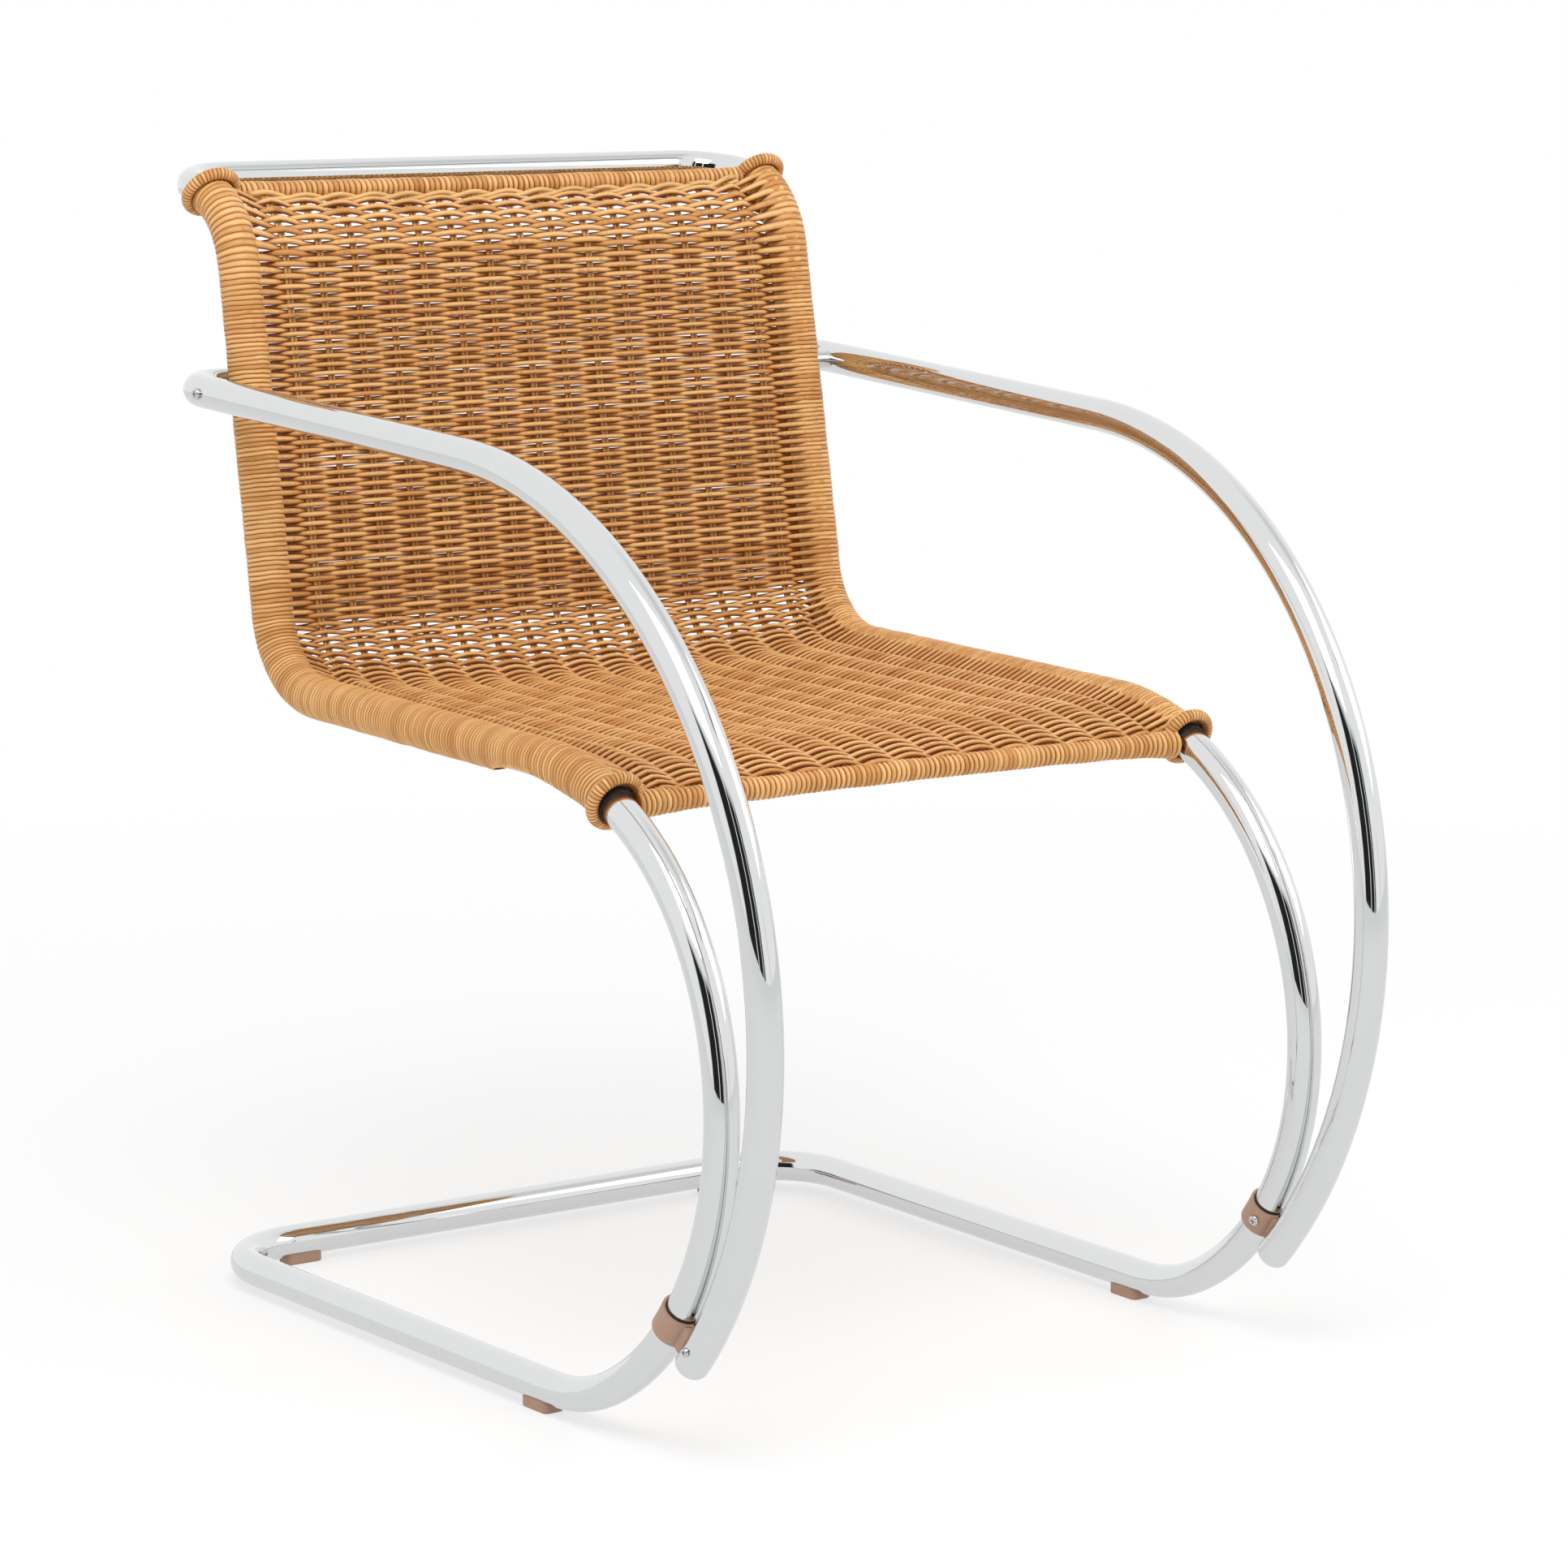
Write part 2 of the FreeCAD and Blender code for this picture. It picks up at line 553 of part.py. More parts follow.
def build():
    parts = {}
    f_edges, mid_floor, mid_top, runner_rear, toe = frame_edges()
    a_edges, arm_tip = arm_edges()
    frame = bar(f_edges, R_TUBE, R_BORE)
    arm = bar(a_edges, R_TUBE, R_BORE)

    # Saddle joint at the foot of the arm
    band, liner, mid, out, across, arm_point, to_arm, r_out = saddle_parts()
    inward = across if across.x < 0 else across * -1
    turn = rad(SADDLE_SCREW_TURN)
    axis = (inward * math.cos(turn) + out * math.sin(turn)).normalize()
    seat = mid + axis * r_out
    hole = rod(seat + axis * 2, axis * -1, r_out, SADDLE_SCREW[0] + FIT)
    band = band.cut(rod(seat - axis * (SADDLE_T + 1), axis, 6.0, SADDLE_SCREW[0] + FIT))
    band = band.cut(rod(seat - axis * 0.25, axis, 3.0, SADDLE_SCREW[1] + 0.6))
    liner = liner.cut(hole)
    frame = frame.cut(hole)
    saddle_screw = screw(seat - axis * 0.25, axis * -1, 8.0, SADDLE_SCREW)
    arm = arm.cut(rod(mid, to_arm, arm_point.distanceToPoint(mid), PEG_R + FIT))
    lateral = V(1, 0, 0)
    pin_seat = arm_point + lateral * (R_TUBE + 0.1)
    pin_hole = rod(pin_seat + lateral * 2, lateral * -1, 22.0, PIN_SCREW[0] + FIT)
    arm = arm.cut(rod(pin_seat + lateral * 2, lateral * -1, 10.0, PIN_SCREW[0] + FIT))
    band = band.cut(pin_hole)
    pin_screw = screw(pin_seat, lateral * -1, 15.0, PIN_SCREW)

    # Rear joint: screw through arm and spacer into the upright
    rear_u = POST_U - REAR_SCREW_BACK
    rear_point = ARM.p(rear_u, arm_height(rear_u))
    rear_seat = rear_point + lateral * (R_TUBE + 0.1)
    post = Part.Line(BACK.p(*UPPER.segs[-2][1]), BACK.p(*UPPER.segs[-2][2]))
    near = post.value(post.parameter(rear_point))
    post_x = near.x + math.sqrt(R_TUBE ** 2 - (near.y - rear_point.y) ** 2)
    rear_len = rear_seat.x - post_x + WALL + 4.0
    rear_bore = rod(rear_seat + lateral * 2, lateral * -1, rear_len + 6.0, REAR_SCREW[0] + FIT)
    arm = arm.cut(rear_bore)
    frame = frame.cut(rear_bore)
    spacer = rod(V(near.x, rear_point.y, rear_point.z), lateral, rear_point.x - near.x, SPACER_R)
    post_dir = BACK.d(math.sin(rad(RECLINE)), math.cos(rad(RECLINE)))
    post_body = Part.makeCylinder(R_TUBE + FIT / 2, 80, near - post_dir * 40, post_dir)
    arm_dir = ARM.d(math.cos(rad(ARM_RISE)), math.sin(rad(ARM_RISE)))
    arm_body = Part.makeCylinder(R_TUBE + FIT / 2, 80, rear_point - arm_dir * 40, arm_dir)
    spacer = spacer.cut(post_body).cut(arm_body).cut(rear_bore)
    rear_screw = screw(rear_seat, lateral * -1, rear_len, REAR_SCREW)
    spacer_way = rod(V(near.x, rear_point.y, rear_point.z), lateral, 40, SPACER_R + WRAP_GAP)
    wrap = side_wrap().cut(spacer_way)

    # Glides and their holes
    along_x = V(1, 0, 0)
    runner_dir = (runner_rear - toe).normalize()
    rear_at = V(GLIDE_REAR_X, mid_floor.y, mid_floor.z)
    front_at = toe + runner_dir * GLIDE_FRONT_BACK
    glide_rear, _ = glide(rear_at, along_x)
    glide_front, _ = glide(front_at, runner_dir)
    for at in (rear_at, front_at):
        frame = frame.cut(rod(V(at.x, at.y, 0), V(0, 0, 1), FLOOR_W, GLIDE_PEG_R + FIT))

    # Tube ends of the arm
    foot_end = ARM.p(ARM_U + ARM_R * math.cos(rad(ARM_END_A)),
                     ARM_W + ARM_R * math.sin(rad(ARM_END_A)))
    foot_dir = ARM.d(-math.sin(rad(ARM_END_A)), math.cos(rad(ARM_END_A)))
    foot_cap = end_cap(foot_end, foot_dir, CAP_T, CAP_ROUND)
    rear_cap = end_cap(arm_tip, V(-1, 0, 0), 4.0, 3.0)

    right = {
        "frame": frame, "arm": arm, "glide_rear": glide_rear, "glide_front": glide_front,
        "arm_saddle": band, "side_wrap": wrap,
    }
    for name, shape in right.items():
        parts[name + "_right"] = shape
        parts[name + "_left"] = mirror(shape)

    # Small pieces that come in pairs share a node, one solid on each side
    pairs = {
        "arm_foot_caps": foot_cap, "arm_rear_caps": rear_cap, "saddle_liners": liner,
        "saddle_screws": saddle_screw, "arm_pin_screws": pin_screw,
        "arm_rear_screws": rear_screw, "arm_spacers": spacer,
        "front_rings": end_ring(0.0), "top_rings": end_ring(TOP_S),
    }
    for name, shape in pairs.items():
        parts[name] = Part.makeCompound([shape, mirror(shape)])

    # Pieces on the middle plane
    for name, at in (("floor_bar_splice", mid_floor), ("top_bar_splice", mid_top)):
        parts[name] = rod(at - along_x * (SPLICE_L / 2), along_x, SPLICE_L, R_BORE - FIT)
    parts["woven_panel"] = woven_panel()
    parts["front_border"] = cross_roll(0.0, BORDER_R, -FRONT_BOW, 0.0, RING_OUT + 0.5)
    parts["top_border"] = cross_roll(TOP_S, BORDER_R, TOP_BORDER_SAG, TOP_BORDER_LIFT,
                                     RING_OUT + 0.5)
    pair_s = TOP_S - PAIR_BACK
    lift = PANEL_OFF + PANEL_T / 2 + PAIR_R + WRAP_GAP
    parts["top_pairing"] = cross_roll(pair_s, PAIR_R, smooth(SAG, pair_s), lift, R_WRAP + 5.0)
    return parts


def main():
    os.makedirs("parts", exist_ok=True)
    for name, shape in build().items():
        shape = shape.copy()
        shape.translate(V(0, -Y_MID, 0))
        solids = shape.Solids
        out = solids[0] if len(solids) == 1 else Part.makeCompound(solids)
        print(name, len(solids), shape.isValid(), round(out.Volume, 1))
        out.exportStep("parts/" + name + ".step")


main()
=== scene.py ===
"""Cantilever armchair of bent chromed tube with a woven cane seat and back."""

import json
import logging
from contextlib import contextmanager
from dataclasses import dataclass, field
from enum import Enum
from functools import cached_property
from itertools import accumulate
from math import acos, asin, atan2, cos, degrees, dist, exp, pi, radians, sin, sqrt, tan
from typing import Any, Callable, Iterator, Sequence

import bmesh
import bpy
import numpy as np
from mathutils import Matrix, Vector


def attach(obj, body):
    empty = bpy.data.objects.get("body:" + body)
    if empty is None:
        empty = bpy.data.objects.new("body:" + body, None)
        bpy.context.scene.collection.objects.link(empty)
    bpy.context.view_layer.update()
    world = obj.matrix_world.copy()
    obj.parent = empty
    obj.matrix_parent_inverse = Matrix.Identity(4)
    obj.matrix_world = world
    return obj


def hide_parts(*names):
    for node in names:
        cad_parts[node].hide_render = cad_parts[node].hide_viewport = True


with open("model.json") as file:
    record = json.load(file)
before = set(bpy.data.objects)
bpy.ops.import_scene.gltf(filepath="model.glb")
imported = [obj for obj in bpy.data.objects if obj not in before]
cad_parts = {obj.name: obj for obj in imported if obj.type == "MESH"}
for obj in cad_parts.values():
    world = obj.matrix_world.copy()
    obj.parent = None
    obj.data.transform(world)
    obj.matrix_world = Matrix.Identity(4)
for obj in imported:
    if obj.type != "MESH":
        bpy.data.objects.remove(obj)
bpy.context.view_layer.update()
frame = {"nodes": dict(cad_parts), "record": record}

logging.basicConfig(level=logging.INFO, format="%(message)s")
log = logging.getLogger("armchair")

Pair = tuple[float, float]
Point = tuple[float, float, float]
Colour = tuple[float, float, float]
Piece = bpy.types.Object

MM = 0.001
ORIGIN: Point = (0.0, 0.0, 0.0)
TOUCH = 2e-5
CURVED, SOFT, STRAIGHT = "KEY_CATMULL_ROM", "KEY_BSPLINE", "KEY_LINEAR"


class Side(Enum):
    """The two sides of the chair as seen from the front."""

    LEFT = -1
    RIGHT = 1

    @property
    def word(self) -> str:
        """Name part that the side's pieces carry."""
        return self.name.lower()


class End(Enum):
    """The two ends of the weave, where rings and rolls lie."""

    FRONT = "front"
    TOP = "top"


class Part(Enum):
    """Stretch of the woven sheet."""

    SEAT = "seat"
    LOIN = "loin"
    BACK = "back"


# Socket arithmetic and node building


class Wire:
    """A shader value that can be added, subtracted, multiplied and divided."""

    def __init__(self, tree: bpy.types.NodeTree, socket: bpy.types.NodeSocket) -> None:
        """Wrap one output socket of a tree."""
        self.tree = tree
        self.socket = socket

    def calc(self, operation: str, first: Any, second: Any = None) -> "Wire":
        """Add a Math node.

        Args:
            operation: The Math node's operation.
            first: A Wire or a number.
            second: A Wire, a number or nothing.

        Returns:
            The node's value.
        """
        node = self.tree.nodes.new("ShaderNodeMath")
        node.operation = operation
        for slot, value in zip(node.inputs, (first, second)):
            if isinstance(value, Wire):
                self.tree.links.new(value.socket, slot)
            elif value is not None:
                slot.default_value = value
        return Wire(self.tree, node.outputs[0])

    def __add__(self, other: Any) -> "Wire":
        """Sum of this value and another."""
        return self.calc("ADD", self, other)

    def __sub__(self, other: Any) -> "Wire":
        """This value less another."""
        return self.calc("SUBTRACT", self, other)

    def __rsub__(self, other: Any) -> "Wire":
        """A number less this value."""
        return self.calc("SUBTRACT", other, self)

    def __mul__(self, other: Any) -> "Wire":
        """Product of this value and another."""
        return self.calc("MULTIPLY", self, other)

    def __truediv__(self, other: Any) -> "Wire":
        """This value divided by another."""
        return self.calc("DIVIDE", self, other)

    def __rtruediv__(self, other: Any) -> "Wire":
        """A number divided by this value."""
        return self.calc("DIVIDE", other, self)

    __radd__, __rmul__ = __add__, __mul__

    def most(self, other: Any) -> "Wire":
        """The larger of this value and another."""
        return self.calc("MAXIMUM", self, other)

    def least(self, other: Any) -> "Wire":
        """The smaller of this value and another."""
        return self.calc("MINIMUM", self, other)

    def clamp(self, high: float = 1.0) -> "Wire":
        """This value kept between 0 and a highest value."""
        return self.most(0.0).least(high)


class Recipe:
    """A node tree that is filled by short calls."""

    def __init__(self, tree: bpy.types.NodeTree) -> None:
        """Empty a tree and keep it."""
        self.tree = tree
        self.tree.nodes.clear()

    def node(self, kind: str, settings: dict[str, Any] | None = None,
             **values: Any) -> bpy.types.Node:
        """Add any node.

        Args:
            kind: The node's type name after ShaderNode.
            settings: Node properties, which are set first.
            values: Values, colours or links by socket: its name with _ for a
                space, or i and its number.

        Returns:
            The new node.
        """
        node = self.tree.nodes.new("ShaderNode" + kind)
        for name, value in (settings or {}).items():
            setattr(node, name, value)
        for name, value in values.items():
            numbered = name[0] == "i" and name[1:].isdigit()
            slot = node.inputs[int(name[1:]) if numbered else name.replace("_", " ")]
            if isinstance(value, (Wire, bpy.types.NodeSocket)):
                self.tree.links.new(getattr(value, "socket", value), slot)
            else:
                slot.default_value = (*value, 1.0) if isinstance(value, tuple) else value
        return node

    def wire(self, node: bpy.types.Node, output: str | int = 0) -> Wire:
        """One output of a node as a Wire."""
        return Wire(self.tree, node.outputs[output])

    def place(self, space: str = "Object") -> Wire:
        """Each point's place, in the piece's own space unless another is named."""
        return self.wire(self.node("TexCoord"), space)

    def split(self, vector: Wire) -> list[Wire]:
        """The three parts of a vector."""
        parts = self.node("SeparateXYZ", Vector=vector)
        return [self.wire(parts, i) for i in range(3)]

    def noise(self, place: Wire, scale: float, detail: float) -> Wire:
        """Cloud noise at a place."""
        return self.wire(self.node("TexNoise", Vector=place, Scale=scale, Detail=detail))

    def mix(self, factor: Any, first: Any, second: Any) -> Wire:
        """Two colours blended by the share of the second."""
        node = self.node("Mix", {"data_type": "RGBA"}, i0=factor, i6=first, i7=second)
        return self.wire(node, 2)

    def relief(self, height: Wire, strength: float, distance: float) -> Wire:
        """Small relief as a normal."""
        return self.wire(self.node("Bump", Strength=strength, Distance=distance, Height=height))

    def surface(self, **values: Any) -> None:
        """Close the tree with one principled shader."""
        shader = self.node("BsdfPrincipled", **values)
        self.node("OutputMaterial", Surface=shader.outputs[0])


# Finishes


class Finish:
    """Base of every finish: makes its material once and keeps it."""

    made: dict[Any, bpy.types.Material] = {}

    def material(self) -> bpy.types.Material:
        """Look the finish's material up, and make it at the first call.

        Returns:
            The material.
        """
        if self not in Finish.made:
            surface = bpy.data.materials.new(type(self).__name__ + getattr(self, "tag", ""))
            surface.use_nodes = True
            self.fill(Recipe(surface.node_tree))
            Finish.made[self] = surface
        return Finish.made[self]

    def fill(self, recipe: Recipe) -> None:
        """Write the finish's nodes."""
        raise NotImplementedError

    def dress(self, piece: Piece) -> None:
        """Give a piece this finish in all its slots.

        Args:
            piece: A CAD node or a new piece.
        """
        surface = self.material()
        if not piece.material_slots:
            piece.data.materials.append(surface)
        for slot in piece.material_slots:
            slot.material = surface


def darker(colour: Colour, share: float) -> Colour:
    """A colour with its parts taken down to a share."""
    return tuple(part * share for part in colour)


@dataclass(frozen=True)
class BrightChrome(Finish):
    """Polished chrome plate with a faint polishing haze."""

    colour: Colour = (0.75, 0.76, 0.765)
    dull: float = 0.97
    haze: float = 0.03
    haze_scale: float = 38.0
    grain_scale: float = 900.0
    rough: float = 0.012

    def fill(self, recipe: Recipe) -> None:
        """Write the finish's nodes.

        Args:
            recipe: The material's recipe.
        """
        place = recipe.place()
        cloud = recipe.noise(place, self.haze_scale, 3.0)
        grain = recipe.noise(place, self.grain_scale, 2.0)
        recipe.surface(Base_Color=recipe.mix(cloud, self.colour, darker(self.colour, self.dull)),
                       Metallic=1.0,
                       Roughness=cloud * self.haze + grain * self.rough + self.rough)


@dataclass(frozen=True)
class Grained(Finish):
    """Base of the finishes of one colour with a fine grain in their gloss."""

    colour: Colour = (0.5, 0.5, 0.5)
    tag: str = ""
    grain_scale: float = 2000.0
    detail: float = 2.0
    spread: float = 0.1
    rough: float = 0.6
    metallic: float = 0.0

    def fill(self, recipe: Recipe) -> None:
        """Write the finish's nodes.

        Args:
            recipe: The material's recipe.
        """
        grain = recipe.noise(recipe.place(), self.grain_scale, self.detail)
        recipe.surface(Base_Color=self.colour, Metallic=self.metallic,
                       Roughness=grain * self.spread + self.rough)


@dataclass(frozen=True)
class PolishedSteel(Grained):
    """Steel of the screws, spacers and splices."""

    colour: Colour = (0.62, 0.62, 0.63)
    grain_scale: float = 1400.0
    detail: float = 3.0
    spread: float = 0.12
    rough: float = 0.14
    metallic: float = 1.0


@dataclass(frozen=True)
class BlackMatt(Grained):
    """Near-black matt liner between band and leg; a darker copy fills the front rings as painted
    shadow in their hole.
    """

    colour: Colour = (0.014, 0.014, 0.015)


@dataclass(frozen=True)
class TanPlastic(Finish):
    """Moulded tan plastic of the bands and glides."""

    colour: Colour = (0.42, 0.25, 0.175)
    dull: float = 0.86
    mottle_scale: float = 160.0
    grain_scale: float = 2600.0
    spread: float = 0.1
    rough: float = 0.36

    def fill(self, recipe: Recipe) -> None:
        """Write the finish's nodes.

        Args:
            recipe: The material's recipe.
        """
        place = recipe.place()
        mottle = recipe.noise(place, self.mottle_scale, 2.0)
        grain = recipe.noise(place, self.grain_scale, 2.0)
        recipe.surface(Base_Color=recipe.mix(mottle, self.colour, darker(self.colour, self.dull)),
                       Roughness=grain * self.spread + self.rough,
                       Normal=recipe.relief(grain, 0.25, 0.0001))


@dataclass(frozen=True)
class HoneyCane(Finish):
    """Satin cane; the piece's lay attribute holds across, along and tone, and a second point
    attribute holds its painted shade.
    """

    light: Colour = (0.80, 0.50, 0.20)
    deep: Colour = (0.53, 0.255, 0.068)
    stain: Colour = (0.27, 0.10, 0.024)
    # Painted shade colours: crevice for grooves, creases and canes under others, shadow for the
    # deepest of them.
    crevice_shade: Colour = (0.50, 0.165, 0.018)
    shadow: Colour = (0.22, 0.065, 0.010)
    fibre_scale: Point = (1500.0, 40.0, 60.0)
    patch_scale: Point = (60.0, 9.0, 40.0)
    cloud_scale: float = 22.0
    fibre_share: float = 1.1
    patch_share: float = 1.2
    cloud_share: float = 0.9
    level: float = 1.66
    stain_from: float = 0.36
    stain_gain: float = 7.0
    spread: float = 0.18
    rough: float = 0.36

    def fill(self, recipe: Recipe) -> None:
        """Write the finish's nodes.

        Args:
            recipe: The material's recipe.
        """
        lay = recipe.wire(recipe.node("Attribute", {"attribute_name": "lay"}), "Vector")
        painted_shade = recipe.wire(recipe.node("Attribute", {"attribute_name": "painted_shade"}), "Fac")
        parts = recipe.split(lay)
        fibre = self._drawn_out(recipe, parts, self.fibre_scale, 3.0)
        patch = self._drawn_out(recipe, parts, self.patch_scale, 2.0)
        cloud = recipe.noise(recipe.place(), self.cloud_scale, 3.0)
        shade = (fibre * self.fibre_share + patch * self.patch_share + parts[2]
                 + cloud * self.cloud_share - self.level)
        tint = recipe.mix(shade.clamp(), self.light, self.deep)
        stained = ((patch * fibre - self.stain_from) * self.stain_gain).clamp(0.6)
        tint = recipe.mix(stained, tint, self.stain)
        # Painted shade: the point attribute mixes in the crevice colour, and past 0.5 the shadow
        # colour.
        tint = recipe.mix((painted_shade * 1.3).least(0.97), tint, self.crevice_shade)
        tint = recipe.mix(((painted_shade - 0.5) * 2.2).clamp(0.92), tint, self.shadow)
        recipe.surface(Base_Color=tint, Roughness=fibre * self.spread + self.rough,
                       Normal=recipe.relief(fibre, 0.35, 0.0002))

    @staticmethod
    def _drawn_out(recipe: Recipe, parts: Sequence[Wire], scale: Point, detail: float) -> Wire:
        """Noise that is drawn out along the cane."""
        x, y, z = (part * size for part, size in zip(parts, scale))
        return recipe.noise(recipe.wire(recipe.node("CombineXYZ", X=x, Y=y, Z=z)), 1.0, detail)


# Hand work on the bench


def clear() -> None:
    """Leave edit mode and deselect everything."""
    if bpy.context.object and bpy.context.object.mode != "OBJECT":
        bpy.ops.object.mode_set(mode="OBJECT")
    bpy.ops.object.select_all(action="DESELECT")


def pick(piece: Piece) -> None:
    """Make a piece the only selected and active object.

    Args:
        piece: The object to pick.
    """
    clear()
    piece.select_set(True)
    bpy.context.view_layer.objects.active = piece


@contextmanager
def editing(piece: Piece) -> Iterator[None]:
    """Hold a piece in edit mode, by edges and all selected.

    Args:
        piece: The mesh object.

    Yields:
        Nothing; object mode comes back at the end.
    """
    pick(piece)
    bpy.ops.object.mode_set(mode="EDIT")
    bpy.ops.mesh.select_mode(type="EDGE")
    bpy.ops.mesh.select_all(action="SELECT")
    yield
    bpy.ops.object.mode_set(mode="OBJECT")


def modify(piece: Piece, kind: str, **settings: Any) -> None:
    """Add a modifier, set it and apply it.

    Args:
        piece: The mesh object.
        kind: The modifier's type.
        settings: Its settings by name.
    """
    modifier = piece.modifiers.new(kind, kind)
    for name, value in settings.items():
        setattr(modifier, name, value)
    pick(piece)
    bpy.ops.object.modifier_apply(modifier=modifier.name)


def array(piece: Piece, count: int, step: Point, merge: float = 0.0) -> None:
    """Repeat a piece along a step.

    Args:
        piece: The mesh object.
        count: How many in all.
        step: Offset from one copy to the next in metres.
        merge: Distance under which touching points are joined, or 0.
    """
    modify(piece, "ARRAY", count=count, use_relative_offset=False, use_constant_offset=True,
           constant_offset_displace=step, use_merge_vertices=merge > 0, merge_threshold=merge)


def bend_along(piece: Piece, guide: Piece) -> None:
    """Bend a piece that lies along +X onto a guide curve, and remove the guide.

    Args:
        piece: The mesh object.
        guide: The guide curve, whose length runs with the piece's X.
    """
    modify(piece, "CURVE", object=guide, deform_axis="POS_X")
    bpy.data.objects.remove(guide)


def ruffle(piece: Piece, size: float, amount: float, axis: str) -> None:
    """Uneven the piece a little with a cloud of noise.

    Args:
        piece: The mesh object.
        size: Size of the noise in metres.
        amount: Full travel in metres.
        axis: X, Y, Z or NORMAL.
    """
    cloud = bpy.data.textures.new("ruffle", "CLOUDS")
    cloud.noise_scale, cloud.noise_depth = size, 1
    modify(piece, "DISPLACE", texture=cloud, texture_coords="LOCAL", direction=axis,
           mid_level=0.5, strength=amount)
    bpy.data.textures.remove(cloud)


def reshape(piece: Piece, middle: float, size: Point, counts: tuple[int, int, int],
            between: tuple[str, str, str], rule: Callable[[Vector, Matrix], Vector]) -> None:
    """Change a piece's form with a lattice.

    Args:
        piece: The mesh object.
        middle: Place of the lattice's middle along X in metres.
        size: Size of the lattice in metres.
        counts: Number of lattice points along each axis.
        between: How the form runs between the points of each axis.
        rule: Takes a lattice point and the matrix from the scene into the
            lattice, and gives the point's new place in the lattice.
    """
    clear()
    bpy.ops.object.add(type="LATTICE", location=(middle, 0, 0))
    lattice = bpy.context.object
    lattice.scale = size
    grid = lattice.data
    grid.points_u, grid.points_v, grid.points_w = counts
    for axis, kind in zip("uvw", between):
        setattr(grid, "interpolation_type_" + axis, kind)
    bpy.context.view_layer.update()
    inward = lattice.matrix_world.inverted()
    for point in grid.points:
        point.co_deform = rule(point.co, inward)
    modify(piece, "LATTICE", object=lattice)
    bpy.data.objects.remove(lattice)


def mend(piece: Piece) -> None:
    """Join doubles and turn all faces outward.

    Args:
        piece: The mesh object.
    """
    with editing(piece):
        bpy.ops.mesh.remove_doubles(threshold=1e-6)
        bpy.ops.mesh.normals_make_consistent(inside=False)


def join(pieces: Sequence[Piece], name: str) -> Piece:
    """Join pieces into one.

    Args:
        pieces: Mesh objects.
        name: Name of the joined piece.

    Returns:
        The joined object.
    """
    pick(pieces[0])
    for piece in pieces[1:]:
        piece.select_set(True)
    bpy.ops.object.join()
    pieces[0].name = pieces[0].data.name = name
    return pieces[0]


def circle(radius: float, sides: int, at: Point, name: str,
           turn: Point = (0.0, pi / 2, 0.0)) -> Piece:
    """Add an open circle, which faces along X unless it is turned otherwise.

    Args:
        radius: Radius in metres.
        sides: Number of points.
        at: Centre in metres.
        name: Object name.
        turn: Rotation that lays the circle.

    Returns:
        The new object in object mode.
    """
    clear()
    bpy.ops.mesh.primitive_circle_add(vertices=sides, radius=radius, location=at, rotation=turn)
    piece = bpy.context.object
    piece.name = name
    bpy.ops.object.transform_apply()
    return piece


def draw_out(piece: Piece, steps: Sequence[tuple[Point, float, Point]]) -> None:
    """Extrude the piece's open rim step by step.

    Args:
        piece: An open circle whose whole rim is the start.
        steps: For each step the move, the scale and the centre to scale about.
    """
    with editing(piece):
        for move, scale, centre in steps:
            bpy.ops.mesh.extrude_edges_move(TRANSFORM_OT_translate={"value": move})
            if scale != 1.0:
                bpy.ops.transform.resize(value=(scale, scale, scale), center_override=centre)


def read_points(piece: Piece) -> np.ndarray:
    """Read the places of a piece's points.

    Args:
        piece: The mesh object.

    Returns:
        An (n, 3) array in metres.
    """
    points = np.empty(len(piece.data.vertices) * 3, np.float32)
    piece.data.vertices.foreach_get("co", points)
    return points.reshape(-1, 3)


def write_points(piece: Piece, points: np.ndarray) -> None:
    """Put a piece's points in new places."""
    piece.data.vertices.foreach_set("co", points.astype(np.float32).ravel())
    piece.data.update()


def write_lay(piece: Piece, rule: Callable[[np.ndarray], np.ndarray],
              depth: Callable[[np.ndarray], np.ndarray]) -> None:
    """Store the lay of the cane and its painted shade on each point while the piece is still
    straight.

    Args:
        piece: The mesh object.
        rule: Takes an (n, 3) array of points and gives across, along and tone.
        depth: Takes the same and gives how much painted shade a point gets, from how deep in a
            groove or crease it lies.
    """
    points = read_points(piece)
    store = piece.data.attributes.new("lay", "FLOAT_VECTOR", "POINT")
    store.data.foreach_set("vector", rule(points).astype(np.float32).ravel())
    store = piece.data.attributes.new("painted_shade", "FLOAT", "POINT")
    store.data.foreach_set("value", depth(points).astype(np.float32))


def bezier(knots: Sequence[tuple[Vector, Vector, Vector]], closed: bool = False,
           twist: str = "Z_UP") -> Piece:
    """Add a Bezier curve for bending pieces onto.

    Args:
        knots: Left handle, point and right handle of each knot in metres.
        closed: Whether the curve is a loop.
        twist: How a piece turns about the curve.

    Returns:
        The curve object.
    """
    clear()
    bpy.ops.curve.primitive_bezier_curve_add()
    guide = bpy.context.object
    line = guide.data.splines[0]
    line.bezier_points.add(len(knots) - len(line.bezier_points))
    for knot, (left, point, right) in zip(line.bezier_points, knots):
        knot.handle_left_type = knot.handle_right_type = "FREE"
        knot.handle_left, knot.co, knot.handle_right = left, point, right
    line.use_cyclic_u = closed
    line.resolution_u = guide.data.resolution_u = 48
    guide.data.twist_mode = twist
    bpy.ops.object.transform_apply()
    return guide


def hand_over(piece: Piece, finish: Finish, node: str, slot: str,
              angle: float = 75.0) -> None:
    """Smooth and dress a finished piece, attach it to the root and hide the CAD node that it
    replaces.

    Args:
        piece: The finished piece.
        finish: Its finish.
        node: The CAD node that it replaces.
        slot: The record's material slot; not used.
        angle: Degrees above which an edge stays sharp.
    """
    pick(piece)
    bpy.ops.object.shade_smooth_by_angle(angle=radians(angle))
    finish.dress(piece)
    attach(piece, "root")
    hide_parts(node)


# The route of tube and cane on each side


